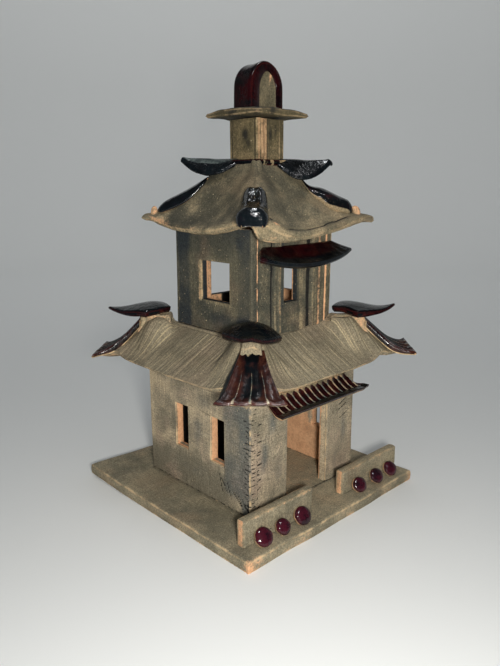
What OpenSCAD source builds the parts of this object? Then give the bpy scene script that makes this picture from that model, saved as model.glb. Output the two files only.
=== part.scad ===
// Hand-built slab ceramic pagoda: square base, lower storey with an open
// doorway and slot windows, hipped lower roof, upper storey that lifts off,
// flared upper roof, neck, cap plate and arched finial.
// Units are millimetres. +Z is up, -Y is the doorway side, the origin is the
// middle of the underside of the base slab.

/* [Base] */
// Width of the base slab along X
base_w = 220; // [200:1:240]
// Depth of the base slab along Y
base_d = 224; // [205:1:240]
// Thickness of the base slab
base_t = 10; // [8:0.5:12]

/* [Lower storey] */
// Outside width of the square lower storey
low_w = 137; // [130:0.5:142]
// Thickness of the lower walls
low_t = 9; // [7:0.5:10]
// Sideways shift of the lower storey on the base
low_shift = 1.5; // [-3:0.5:3]
// Left edge of the doorway
door_x0 = -22; // [-26:0.5:-16]
// Right edge of the doorway
door_x1 = 31; // [24:0.5:34]
// Height of the doorway above the base slab
door_h = 88; // [82:0.5:92]
// Width of each slot window
slot_w = 17.5; // [14:0.5:20]
// Height of each slot window
slot_h = 41; // [34:0.5:46]
// Sill height of the slot windows above the base slab
slot_sill = 36; // [30:0.5:40]

/* [Garden walls] */
// Height of the two low walls beside the path
garden_h = 22; // [18:0.5:26]
// Thickness of the low walls
garden_t = 8.5; // [6:0.5:10]
// Radius of the glazed discs
disc_r = 7.5; // [6:0.25:8.5]

/* [Lower roof] */
// Half width of the lower eaves
eave_r = 99; // [95:0.5:102]
// Height of the top of the lower eaves
eave_z = 128.5; // [125:0.5:132]
// Height of the flat deck on which the upper storey rests
deck_z = 156; // [154:0.5:158]
// Thickness of the roof slabs
roof_t = 8; // [6:0.5:9]
// Half width of the opening in the deck
deck_hole = 27; // [15:0.5:32]

/* [Upper storey] */
// Outside width of the square upper storey
up_w = 98.5; // [94:0.5:102]
// Thickness of the upper walls
up_t = 8; // [6:0.5:9]
// Sideways shift of the upper storey
up_shift = 1.5; // [0:0.5:3]
// Width and height of the left, right and back windows
up_win = 36; // [28:0.5:40]
// Width of the front window
up_front_win = 17.5; // [14:0.5:20]
// Sill height of the upper windows above the deck
up_sill = 26; // [20:0.5:30]

/* [Upper roof] */
// Radius of the dished upper roof slabs
dish_r = 202.6; // [198:0.2:208]
// Half width of the upper eaves
up_eave_r = 70; // [66:0.5:74]
// Thickness of the upper roof slabs
up_roof_t = 7; // [5:0.5:8]
// Sideways shift of the upper roof and everything above it
top_shift = 3.5; // [0:0.5:5]

/* [Neck and finial] */
// Outside width of the square neck
neck_w = 33; // [28:0.5:36]
// Wall thickness of the neck
neck_t = 6; // [4:0.5:7]
// Width of the square cap plate
cap_w = 63; // [56:0.5:68]
// Width of the arched finial
finial_w = 39; // [36:0.5:39]
// Depth of the arched finial
finial_d = 21; // [18:0.5:24]

/* [Hidden] */
low_h0 = base_t;
slope = (deck_z - 0.7 - eave_z) / (eave_r - up_w/2 - 0.2);
slope_a = atan(slope);
roof_vt = roof_t / cos(slope_a);
roof_top_r = up_w/2 + 0.2;
roof_top_z = deck_z - 0.7;
dish_c = [202.5, 388];
top_z = 300.4;
collar_t = 4.8;
neck_h = 25.6;
neck_z1 = 333.5;
cap_t = 7;
finial_z0 = neck_z1 + cap_t;
finial_h = 380 - finial_z0;
clay = [0.62, 0.54, 0.42];
bare = [0.88, 0.68, 0.48];
stain = [0.42, 0.42, 0.38];
oxblood = [0.35, 0.06, 0.07];
black = [0.06, 0.08, 0.1];

// ---------- helpers ----------
module box(x0, x1, y0, y1, z0, z1) translate([x0, y0, z0]) cube([x1 - x0, y1 - y0, z1 - z0]);

// quarter of the plan between the two diagonals, on the -Y side
module wedge(r, z0, z1) translate([0, 0, z0])
  linear_extrude(z1 - z0) polygon([[0, 0], [-r, -r], [r, -r]]);

// everything above the underside (k = 0) or the top (k = 1) of the lower roof
module above_lower_roof(k) {
  for (a = [0:90:270]) rotate(a)
    intersection() {
      wedge(150, 0, 260);
      rotate([90, 0, 90]) translate([0, 0, -150]) linear_extrude(300)
        polygon([[-150, eave_z - slope*(150 - eave_r) - (1 - k)*roof_vt],
                 [0, eave_z + slope*eave_r - (1 - k)*roof_vt], [0, 260], [-150, 260]]);
    }
}

// ---------- base ----------
module base_slab() color(clay)
  box(-base_w/2, base_w/2, -base_d/2, base_d/2, 0, base_t);

// ---------- lower storey ----------
lx0 = low_shift - low_w/2;
lx1 = low_shift + low_w/2;
ly0 = -low_w/2;
ly1 = low_w/2;
low_top = eave_z + slope*(eave_r - low_w/2 - low_shift) + 8;

module lower_left_wall() color(stain) difference() {
  box(lx0, lx0 + low_t, ly0, ly1, base_t, low_top);
  for (c = [20.5, -28]) box(lx0 - 1, lx0 + low_t + 1, c - slot_w/2, c + slot_w/2,
    base_t + slot_sill, base_t + slot_sill + slot_h);
  above_lower_roof(0);
}
module lower_right_wall() color(stain) difference() {
  box(lx1 - low_t, lx1, ly0, ly1, base_t, low_top);
  for (c = [20.5, -33.8]) box(lx1 - low_t - 1, lx1 + 1, c - slot_w/2, c + slot_w/2,
    base_t + slot_sill, base_t + slot_sill + slot_h);
  above_lower_roof(0);
}
module lower_back_wall() color(stain) difference() {
  box(lx0 + low_t, lx1 - low_t, ly1 - low_t, ly1, base_t, low_top);
  for (c = [15.5, -15.5]) box(low_shift + c - slot_w/2, low_shift + c + slot_w/2, ly1 - low_t - 1, ly1 + 1,
    base_t + slot_sill, base_t + slot_sill + slot_h);
  above_lower_roof(0);
}
module front_wall_left() color(stain) difference() {
  box(lx0 + low_t, door_x0, ly0, ly0 + low_t, base_t, low_top);
  above_lower_roof(0);
}
module front_wall_right() color(stain) difference() {
  box(door_x1, lx1 - low_t, ly0, ly0 + low_t, base_t, low_top);
  above_lower_roof(0);
}
module front_wall_header() color(stain) difference() {
  box(door_x0, door_x1, ly0, ly0 + low_t, base_t + door_h, low_top);
  above_lower_roof(0);
}

// ---------- low walls and discs on the base ----------
gy0 = -97;
module garden_wall_left() color(clay)
  box(-100, -21, gy0, gy0 + garden_t, base_t, base_t + garden_h);
module garden_wall_right() color(clay)
  box(21, 103, gy0, gy0 + garden_t, base_t, base_t + garden_h);

// domed disc leaning back on the wall, its lower edge on the base
module disc(x, r) translate([x, gy0 - r/2, base_t + r*cos(30)]) rotate([60, 0, 0]) intersection() {
  cylinder(r = r, h = 5, $fn = 48);
  translate([0, 0, 4.4 - (r*r + 7)/4]) sphere(r = (r*r + 7)/4, $fn = 96);
}
module garden_discs_left() color(oxblood) {
  disc(-84, disc_r); disc(-62, disc_r - 1); disc(-39, disc_r);
}
module garden_discs_right() color(oxblood) {
  disc(39, disc_r - 0.5); disc(65, disc_r - 0.5); disc(87, disc_r - 0.5);
}

// ---------- lower roof ----------
module lower_panel() intersection() {
  wedge(130, 60, 200);
  rotate([90, 0, 90]) translate([0, 0, -120]) linear_extrude(240)
    polygon([[-eave_r, eave_z], [-roof_top_r, roof_top_z],
             [-roof_top_r, roof_top_z - roof_vt],
             [-eave_r, eave_z - roof_vt]]);
}
module lower_roof_front() color(stain) lower_panel();
module lower_roof_right() color(stain) rotate(90) lower_panel();
module lower_roof_back() color(stain) rotate(180) lower_panel();
module lower_roof_left() color(stain) rotate(270) lower_panel();

module deck() color(bare) difference() {
  box(-roof_top_r, roof_top_r, -roof_top_r, roof_top_r, roof_top_z - roof_vt, deck_z);
  box(-deck_hole, deck_hole, -deck_hole, deck_hole, 100, 200);
}

// radial pieces are drawn along -Y and turned onto the four diagonals
module on_hips() for (a = [45:90:315]) rotate(a) children();
module roof_under() rotate(-45) difference() {
  box(-130, 130, -130, 130, 60, 170);
  above_lower_roof(1);
}

module hip_lumps() color(bare) for (k = [0:3]) rotate(45 + 90*k) difference() {
  translate([0, 0, 110]) linear_extrude(cap_z - cap_thick - 110)
    polygon([[-9, -72.5], [9, -72.5], [12, -84], [9.3, -fan_d0 - fan_out[k]], [-9.3, -fan_d0 - fan_out[k]], [-12, -84]]);
  roof_under();
}

// fluted tile over the outer half of each hip, concave along its run
fan_d0 = 101;
fan_d1 = 142;
// the four tiles were set by hand: how much further out and higher each one sits
// (right, back, left, front corner)
fan_out = [5.5, 1, 0, 0];
fan_up = [5, 1, 0.5, 0];
module fan_tiles() color(oxblood) for (k = [0:3]) rotate(45 + 90*k) let (d0 = fan_d0 + fan_out[k], d1 = fan_d1 + fan_out[k], u = fan_up[k]) difference() {
  intersection() {
    rotate([90, 0, 90]) translate([0, 0, -30]) linear_extrude(60) difference() {
      polygon([[-d0, 157.5 + u], [-d0, 130], [-d1 + 6, 118], [-d1, 124 + u], [-d1, 136 + u]]);
      translate([-209.4 - fan_out[k], 271.4 + u]) circle(r = 157, $fn = 128);
    }
    translate([0, 0, 100]) linear_extrude(80)
      polygon([[-9.3, -d0], [9.3, -d0], [25.5, -d1], [-25.5, -d1]]);
  }
  roof_under();
}

// flat diamond caps with a curled outer tip
cap_z = 170;
cap_thick = 5.5;
cap_curl = 44;
module hip_caps() color(black) on_hips() intersection() {
  rotate([90, 0, 90]) translate([0, 0, -30]) linear_extrude(60) union() {
    translate([-112, cap_z - cap_thick]) square([39, cap_thick]);
    intersection() {
      translate([-112, cap_z + cap_curl]) difference() {
        circle(r = cap_curl + cap_thick, $fn = 128);
        circle(r = cap_curl, $fn = 128);
      }
      translate([-132.5, cap_z - 10]) square([20.5, 30]);
    }
  }
  translate([0, 0, 140]) linear_extrude(60)
    polygon([[0, -72.5], [13, -81], [24.5, -92], [24, -98], [16, -115], [4, -131.5], [0, -132.5], [-4, -131.5],
             [-16, -115], [-24, -98], [-24.5, -92], [-13, -81]]);
}

// ---------- awning over the doorway ----------
module door_awning() color(oxblood) translate([-52, ly0, 0])
  rotate([90, 0, 90]) linear_extrude(118) difference() {
    polygon([[0, 114], [0, 104], [-12, 96.5], [-20, 97.5], [-20, 103], [-6, 114]]);
    translate([-19, 118.5]) circle(r = 16, $fn = 64);
  }

// ---------- upper storey ----------
ux0 = up_shift - up_w/2;
ux1 = up_shift + up_w/2;
uy0 = -up_shift - up_w/2;
uy1 = -up_shift + up_w/2;
up_z0 = deck_z + 0.3;
win_z0 = deck_z + up_sill;
module dish_block() translate([top_shift, -top_shift, 0]) for (a = [0:90:270]) rotate(a)
  intersection() {
    wedge(90, 160, 340);
    translate([0, -dish_c[0], dish_c[1]]) sphere(r = dish_r + up_roof_t, $fn = 128);
  }
module upper_left_wall() color(stain) difference() {
  box(ux0, ux0 + up_t, uy0, uy1, up_z0, 262);
  box(ux0 - 1, ux0 + up_t + 1, -5 - up_win/2, -5 + up_win/2, win_z0, win_z0 + up_win - 2);
  dish_block();
}
module upper_right_wall() color(stain) difference() {
  box(ux1 - up_t, ux1, uy0, uy1, up_z0, 262);
  box(ux1 - up_t - 1, ux1 + 1, -up_win/2, up_win/2, win_z0, win_z0 + up_win - 2);
  dish_block();
}
module upper_back_wall() color(stain) difference() {
  box(ux0 + up_t, ux1 - up_t, uy1 - up_t, uy1, up_z0, 262);
  box(up_shift + 3.8 - up_win/2, up_shift + 3.8 + up_win/2, uy1 - up_t - 1, uy1 + 1, win_z0 - 4.5, win_z0 + up_win - 6.5);
  dish_block();
}
module upper_front_wall() color(stain) difference() {
  box(ux0 + up_t, ux1 - up_t, uy0, uy0 + up_t, up_z0, 262);
  box(-up_front_win/2, up_front_win/2, uy0 - 1, uy0 + up_t + 1, win_z0, win_z0 + up_win + 4);
  dish_block();
}
// dished leaf over the front window: a straight top edge on the wall and a lip
// that hangs lowest in the middle. Each point is set by where it lies along the
// leaf (i) and out from the wall (j); the underside is leaf_t below the top.
leaf_nx = 24;
leaf_ny = 5;
leaf_t = 4.6;
function leaf_x(i, j) = let (u = i/leaf_nx, v = j/leaf_ny) (1 - v)*(-34 + 85*u) + v*(-58 + 118*u);
function leaf_out(i, j) = let (u = i/leaf_nx, v = j/leaf_ny) v*(21.5 - 5*pow(2*u - 1, 4));
function leaf_z(i, j) = let (w = pow(2*i/leaf_nx - 1, 2), v = j/leaf_ny) 231.5 - v*(17 - 10*w);
function leaf_pts(d) = [for (j = [0:leaf_ny]) for (i = [0:leaf_nx])
  [leaf_x(i, j), uy0 - leaf_out(i, j), leaf_z(i, j) - d]];
module window_awning() color(oxblood)
  let (m = leaf_nx + 1, n = (leaf_nx + 1)*(leaf_ny + 1))
  polyhedron(points = concat(leaf_pts(0), leaf_pts(leaf_t)), faces = concat(
    [for (j = [0:leaf_ny-1]) for (i = [0:leaf_nx-1]) for (t = [0, 1])
      t == 0 ? [j*m + i, j*m + i + 1, (j + 1)*m + i + 1] : [j*m + i, (j + 1)*m + i + 1, (j + 1)*m + i]],
    [for (j = [0:leaf_ny-1]) for (i = [0:leaf_nx-1]) for (t = [0, 1])
      t == 0 ? [n + j*m + i, n + (j + 1)*m + i + 1, n + j*m + i + 1] : [n + j*m + i, n + (j + 1)*m + i, n + (j + 1)*m + i + 1]],
    [for (i = [0:leaf_nx-1]) for (t = [0, 1])
      t == 0 ? [i, n + i, n + i + 1] : [i, n + i + 1, i + 1]],
    [for (i = [0:leaf_nx-1]) for (t = [0, 1])
      t == 0 ? [leaf_ny*m + i, n + leaf_ny*m + i + 1, n + leaf_ny*m + i] : [leaf_ny*m + i, leaf_ny*m + i + 1, n + leaf_ny*m + i + 1]],
    [for (j = [0:leaf_ny-1]) for (t = [0, 1])
      t == 0 ? [j*m, (j + 1)*m, n + (j + 1)*m] : [j*m, n + (j + 1)*m, n + j*m]],
    [for (j = [0:leaf_ny-1]) for (t = [0, 1])
      t == 0 ? [j*m + leaf_nx, n + (j + 1)*m + leaf_nx, (j + 1)*m + leaf_nx] : [j*m + leaf_nx, n + j*m + leaf_nx, n + (j + 1)*m + leaf_nx]]));

// ---------- upper roof ----------
module dish_panel(a) color(stain) translate([top_shift, -top_shift, 0]) rotate(a) intersection() {
  wedge(up_eave_r, 160, top_z - collar_t);
  difference() {
    translate([0, -dish_c[0], dish_c[1]]) sphere(r = dish_r + up_roof_t, $fn = 160);
    translate([0, -dish_c[0], dish_c[1]]) sphere(r = dish_r, $fn = 160);
  }
}
module upper_roof_front() dish_panel(0);
module upper_roof_right() dish_panel(90);
module upper_roof_back() dish_panel(180);
module upper_roof_left() dish_panel(270);

// everything under the top of the upper roof: a block less four spheres
module roof_mass() difference() {
  box(-90, 90, -90, 90, 160, 330);
  for (a = [0:90:270]) rotate(a) translate([0, -dish_c[0], dish_c[1]]) sphere(r = dish_r, $fn = 160);
}

// pear-shaped drops lying on the upper hips, small end up; each has its own
// place (outer end and slope: right, back, left, front corner)
function hip_z(d) = dish_c[1] - sqrt(dish_r*dish_r - d*d/2 - pow(dish_c[0] - d/sqrt(2), 2));
drop_d = [82, 83, 86, 97];
drop_a = [34, 34, 32, 28];
module hip_drops() color(black) translate([top_shift, -top_shift, 0]) for (k = [0:3]) rotate(45 + 90*k) difference() {
  translate([0, -drop_d[k], hip_z(drop_d[k]) - 3]) rotate([drop_a[k] - 90, 0, 0]) drop();
  rotate(-45) roof_mass();
}
module drop() rotate_extrude($fn = 64) union() {
  intersection() { translate([0, 10.5]) circle(r = 12, $fn = 64); square([20, 30]); }
  polygon([[0, 10], [11.6, 13.6], [10.2, 22], [8.4, 35], [6, 43], [0, 44]]);
}

module collar_plate() color(black) translate([top_shift, -top_shift, 0])
  box(-22, 22, -22, 22, top_z - collar_t, top_z);

// drooping leaves under the neck on three of the four corners: each is a bent
// sheet, cut to a leaf outline that starts on the collar plate
leaf_r = 19;
module collar_leaves() color(black) translate([top_shift, -top_shift, 0])
  for (a = [45:90:225]) rotate(a) difference() {
    intersection() {
      translate([0, 0, top_z + 1.4 - leaf_r]) rotate([90, 0, 0]) linear_extrude(70) difference() {
        circle(r = leaf_r, $fn = 96);
        circle(r = leaf_r - 4.4, $fn = 96);
      }
      translate([0, 0, 286]) linear_extrude(50)
        polygon([[-13, -17.5], [-15.4, -22], [-16.8, -29], [-16.6, -38], [-14.6, -46], [-9.3, -56], [-3, -64.5], [0, -66],
                 [3, -64.5], [9.3, -56], [14.6, -46], [16.6, -38], [16.8, -29], [15.4, -22], [13, -17.5]]);
    }
    rotate(-a) roof_mass();
    rotate(-a) box(-22, 22, -22, 22, 250, 340);
  }

// ---------- neck, cap plate and finial ----------
module neck() color(stain) translate([top_shift, -top_shift, 0]) difference() {
  box(-neck_w/2, neck_w/2, -neck_w/2, neck_w/2, top_z, neck_z1);
  box(-neck_w/2 + neck_t, neck_w/2 - neck_t, -neck_w/2 + neck_t, neck_w/2 - neck_t, top_z - 1, neck_z1 + 1);
}
module cap_plate() color(stain) translate([top_shift, -top_shift, 0])
  box(-cap_w/2, cap_w/2, -cap_w/2, cap_w/2, neck_z1, finial_z0);
module finial_shape(w, h) union() {
  translate([-w/2, 0]) square([w, h - w/2]);
  translate([0, h - w/2]) circle(r = w/2, $fn = 96);
}
module finial() color(oxblood) translate([top_shift + 1, -top_shift - 1, finial_z0])
  rotate([90, 0, 0]) translate([0, 0, -finial_d/2]) difference() {
    linear_extrude(finial_d) finial_shape(finial_w, finial_h);
    translate([0, -0.1, finial_d - 3]) linear_extrude(4) finial_shape(21, finial_h - 8);
  }
module finial_panel() color(clay) translate([top_shift + 1, -top_shift - 1, finial_z0])
  rotate([90, 0, 0]) translate([0, 0, finial_d/2 - 3]) linear_extrude(1.6) finial_shape(21, finial_h - 8.1);

base_slab();
lower_left_wall();
lower_right_wall();
lower_back_wall();
front_wall_left();
front_wall_right();
front_wall_header();
garden_wall_left();
garden_wall_right();
garden_discs_left();
garden_discs_right();
lower_roof_front();
lower_roof_right();
lower_roof_back();
lower_roof_left();
deck();
hip_lumps();
fan_tiles();
hip_caps();
door_awning();
upper_left_wall();
upper_right_wall();
upper_front_wall();
upper_back_wall();
window_awning();
upper_roof_front();
upper_roof_right();
upper_roof_back();
upper_roof_left();
hip_drops();
collar_plate();
collar_leaves();
neck();
cap_plate();
finial();
finial_panel();
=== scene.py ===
import math
import bpy
import numpy as np
from mathutils import Matrix


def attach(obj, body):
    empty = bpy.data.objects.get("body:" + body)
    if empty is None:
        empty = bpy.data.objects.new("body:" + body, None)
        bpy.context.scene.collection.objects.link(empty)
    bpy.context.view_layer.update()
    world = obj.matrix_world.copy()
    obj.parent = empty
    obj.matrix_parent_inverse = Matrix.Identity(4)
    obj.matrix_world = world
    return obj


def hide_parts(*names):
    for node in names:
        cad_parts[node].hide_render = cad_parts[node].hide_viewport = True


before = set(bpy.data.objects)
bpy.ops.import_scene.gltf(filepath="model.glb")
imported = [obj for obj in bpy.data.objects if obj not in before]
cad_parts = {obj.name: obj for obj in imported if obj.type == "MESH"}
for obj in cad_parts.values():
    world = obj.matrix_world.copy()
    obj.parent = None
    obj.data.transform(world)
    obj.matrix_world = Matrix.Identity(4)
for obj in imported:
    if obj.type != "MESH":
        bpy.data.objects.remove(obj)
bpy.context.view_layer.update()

MM = 0.001
PARTS = {}


# ------------------------------------------------------------------ noise
def _hash(x, y, z, seed):
    with np.errstate(over="ignore"):
        h = (x.astype(np.uint64) * np.uint64(73856093)) ^ (y.astype(np.uint64) * np.uint64(19349663)) \
            ^ (z.astype(np.uint64) * np.uint64(83492791)) ^ np.uint64(seed * 7919 + 12345)
        h = (h ^ (h >> np.uint64(15))) * np.uint64(2246822519)
        h = (h ^ (h >> np.uint64(13))) * np.uint64(3266489917)
        h = h ^ (h >> np.uint64(16))
    return (h & np.uint64(0xFFFFFF)).astype(float) / 8388607.5 - 1.0


def noise(x, y=0.0, z=0.0, seed=0):
    x, y, z = np.broadcast_arrays(np.asarray(x, float), np.asarray(y, float), np.asarray(z, float))
    ix, iy, iz = (np.floor(c).astype(np.int64) for c in (x, y, z))
    fx, fy, fz = x - ix, y - iy, z - iz
    fx, fy, fz = (f * f * f * (f * (f * 6 - 15) + 10) for f in (fx, fy, fz))
    out = 0.0
    for dx in (0, 1):
        wx = fx if dx else 1 - fx
        for dy in (0, 1):
            wy = fy if dy else 1 - fy
            for dz in (0, 1):
                wz = fz if dz else 1 - fz
                out = out + wx * wy * wz * _hash(ix + dx, iy + dy, iz + dz, seed)
    return out


def fbm(x, y=0.0, z=0.0, seed=0, octaves=3, gain=0.5):
    out, amp, f = 0.0, 1.0, 1.0
    for k in range(octaves):
        out = out + amp * noise(np.asarray(x) * f, np.asarray(y) * f, np.asarray(z) * f, seed + 17 * k)
        amp *= gain
        f *= 2.03
    return out


def sstep(a, b, x):
    t = np.clip((np.asarray(x, float) - a) / (b - a), 0, 1)
    return t * t * (3 - 2 * t)


def warp(P):
    """The slow wobble of hand-built slabs, the same field for every piece."""
    x, y, z = P[..., 0] / 62.0, P[..., 1] / 62.0, P[..., 2] / 70.0
    k = np.clip(P[..., 2] / 40.0, 0, 1)
    return P + np.stack([0.55 * noise(x, y, z, 31), 0.55 * noise(x, y, z, 32), 0.4 * k * noise(x, y, z, 33)], -1)


# ------------------------------------------------------------------ mesh core
def normals_of(P):
    gi, gj = np.gradient(P, axis=0), np.gradient(P, axis=1)
    n = np.cross(gi, gj)
    return n / np.maximum(np.linalg.norm(n, axis=-1, keepdims=True), 1e-9)


def arcs(P):
    di = np.linalg.norm(np.diff(P, axis=0), axis=-1)
    dj = np.linalg.norm(np.diff(P, axis=1), axis=-1)
    a = np.concatenate([np.zeros((1, P.shape[1])), np.cumsum(di, 0)], 0)
    b = np.concatenate([np.zeros((P.shape[0], 1)), np.cumsum(dj, 1)], 1)
    return a, b


def steps(length, n, r):
    """0..1: n even steps with closer rows within r of both ends."""
    e = np.array([0, 0.08, 0.25, 0.55, 1.0]) * min(r / length, 0.2)
    return np.unique(np.round(np.concatenate([e, np.linspace(e[-1], 1 - e[-1], n + 1), 1 - e[::-1]]), 9))


def lines(a, b, breaks, step, r):
    """Grid lines from a to b that meet every break, closer within r of each."""
    off = np.array([0, 0.08, 0.25, 0.55, 1.0]) * r
    s = {round(a, 5), round(b, 5)}
    for x in list(breaks) + [a, b]:
        for o in off:
            for q in (x - o, x + o):
                if a <= q <= b:
                    s.add(round(float(q), 5))
    s = sorted(s)
    keep = [s[0]]
    for q in s[1:]:
        if q - keep[-1] > 0.03:
            keep.append(q)
    out = [keep[0]]
    for q in keep[1:]:
        n = max(1, int(math.ceil((q - out[-1]) / step)))
        p = out[-1]
        out += [p + (q - p) * (k + 1) / n for k in range(n)]
    return np.array(out)


def solid(name, P, T, N=None, up=None, D=None, mask=None, r=1.0, rb=None, relief=0.0, relief_b=0.0,
          layers=4, bulge=0.0, rough=0.0, pan=None, do_warp=True):
    """A closed slab. P is its outer surface (n, m, 3) in mm, T its thickness along -N.
    Edges are rounded by r outside and rb inside, D is the distance to the rim and mask the cells that are there."""
    n, m, _ = P.shape
    if N is None:
        N = normals_of(P)
        if up is not None:
            s = np.sign((N * np.asarray(up, float)).sum(-1, keepdims=True).mean())
            N = N * s
    a, b = arcs(P)
    if D is None:
        D = np.minimum(np.minimum(a, a[-1:] - a), np.minimum(b, b[:, -1:] - b))
    if pan is None:
        pan = np.stack([a, b], -1)
    if mask is None:
        mask = np.ones((n - 1, m - 1), bool)
    rb = r if rb is None else rb
    T = np.broadcast_to(np.asarray(T, float), (n, m))
    relief = np.broadcast_to(np.asarray(relief, float), (n, m))
    relief_b = np.broadcast_to(np.asarray(relief_b, float), (n, m))

    def cut(rr):
        rr = np.minimum(rr, T * 0.48)
        t = np.clip(D / np.maximum(rr, 1e-6), 0, 1)
        return rr * (1 - np.sqrt(np.maximum(1 - (1 - t) ** 2, 0)))
    F = P + N * (relief - cut(r))[..., None]
    B = P - N * (T - cut(rb) - relief_b)[..., None]
    used = np.zeros((n, m), bool)
    used[:-1, :-1] |= mask; used[1:, :-1] |= mask; used[:-1, 1:] |= mask; used[1:, 1:] |= mask
    idf = -np.ones((n, m), np.int64); idf[used] = np.arange(used.sum())
    nf = int(used.sum())
    idb = np.where(used, idf + nf, -1)
    co = [F[used], B[used]]
    edge = np.exp(-D[used] / 1.5)
    att = {"edge": [edge, edge], "side": [np.zeros(nf), np.zeros(nf)], "back": [np.zeros(nf), np.ones(nf)]}
    pn = [np.concatenate([pan[used], np.zeros((nf, 1))], 1), np.concatenate([pan[used], T[used][:, None]], 1)]
    ci, cj = np.nonzero(mask)
    faces = [np.stack([idf[ci, cj], idf[ci + 1, cj], idf[ci + 1, cj + 1], idf[ci, cj + 1]], 1),
             np.stack([idb[ci, cj + 1], idb[ci + 1, cj + 1], idb[ci + 1, cj], idb[ci, cj]], 1)]
    # rim edges
    up_in = np.zeros((n - 1, m), bool); up_in[:, :-1] = mask
    dn_in = np.zeros((n - 1, m), bool); dn_in[:, 1:] = mask
    rt_in = np.zeros((n, m - 1), bool); rt_in[:-1, :] = mask
    lf_in = np.zeros((n, m - 1), bool); lf_in[1:, :] = mask
    E = []  # start i,j  end i,j  inward di,dj
    for sel, d in ((up_in & ~dn_in, 1), (dn_in & ~up_in, -1)):
        i, j = np.nonzero(sel)
        o = np.zeros_like(i)
        if d == 1:
            E.append((i + 1, j, i, j, o, o + 1))
        else:
            E.append((i, j, i + 1, j, o, o - 1))
    for sel, d in ((rt_in & ~lf_in, 1), (lf_in & ~rt_in, -1)):
        i, j = np.nonzero(sel)
        o = np.zeros_like(i)
        if d == 1:
            E.append((i, j, i, j + 1, o + 1, o))
        else:
            E.append((i, j + 1, i, j, o - 1, o))
    E = [np.concatenate([e[k] for e in E]) for k in range(6)]
    si, sj, ei, ej, wi, wj = E
    rim = np.zeros((n, m), bool); rim[si, sj] = True; rim[ei, ej] = True
    outw = np.zeros((n, m, 3))
    d1 = P[si, sj] - P[si + wi, sj + wj]
    d1 /= np.maximum(np.linalg.norm(d1, axis=1, keepdims=True), 1e-9)
    d2 = P[ei, ej] - P[ei + wi, ej + wj]
    d2 /= np.maximum(np.linalg.norm(d2, axis=1, keepdims=True), 1e-9)
    np.add.at(outw, (si, sj), d1)
    np.add.at(outw, (ei, ej), d2)
    outw = outw[rim]
    outw /= np.maximum(np.linalg.norm(outw, axis=1, keepdims=True), 1e-9)
    nr = int(rim.sum())
    idr = -np.ones((n, m), np.int64); idr[rim] = np.arange(nr)
    base = 2 * nf
    Fr, Br, Tr = F[rim], B[rim], T[rim]
    layer_ids = [idf]
    for k in range(1, layers):
        t = k / layers
        Q = Fr * (1 - t) + Br * t
        push = bulge * math.sin(math.pi * t)
        if rough:
            push = push + rough * fbm(Q[:, 0] / 7, Q[:, 1] / 7, Q[:, 2] / 7, 5, 2)
        Q = Q + outw * np.broadcast_to(push, (nr,))[:, None]
        co.append(Q)
        g = np.exp(-np.minimum(t, 1 - t) * Tr / 1.5)
        att["edge"].append(g); att["side"].append(np.ones(nr)); att["back"].append(np.full(nr, t))
        pn.append(np.concatenate([pan[rim], (t * Tr)[:, None]], 1))
        layer_ids.append(np.where(rim, idr + base + (k - 1) * nr, -1))
    layer_ids.append(idb)
    for k in range(layers):
        A, C = layer_ids[k], layer_ids[k + 1]
        faces.append(np.stack([A[si, sj], A[ei, ej], C[ei, ej], C[si, sj]], 1))
    faces = np.concatenate(faces)
    # faces turn the right way round when the grid's own cross product follows N
    gi = P[ci[len(ci) // 2] + 1, cj[len(cj) // 2]] - P[ci[len(ci) // 2], cj[len(cj) // 2]]
    gj = P[ci[len(ci) // 2], cj[len(cj) // 2] + 1] - P[ci[len(ci) // 2], cj[len(cj) // 2]]
    if np.dot(np.cross(gi, gj), N[ci[len(ci) // 2], cj[len(cj) // 2]]) < 0:
        faces = faces[:, ::-1]
    co = np.concatenate(co)
    data = {k: np.concatenate(v) for k, v in att.items()}
    data["pan"] = np.concatenate(pn)
    data["front"] = 1 - np.clip(data["side"] + data["back"], 0, 1)
    return Part(name, co, faces, data, do_warp)


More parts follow.
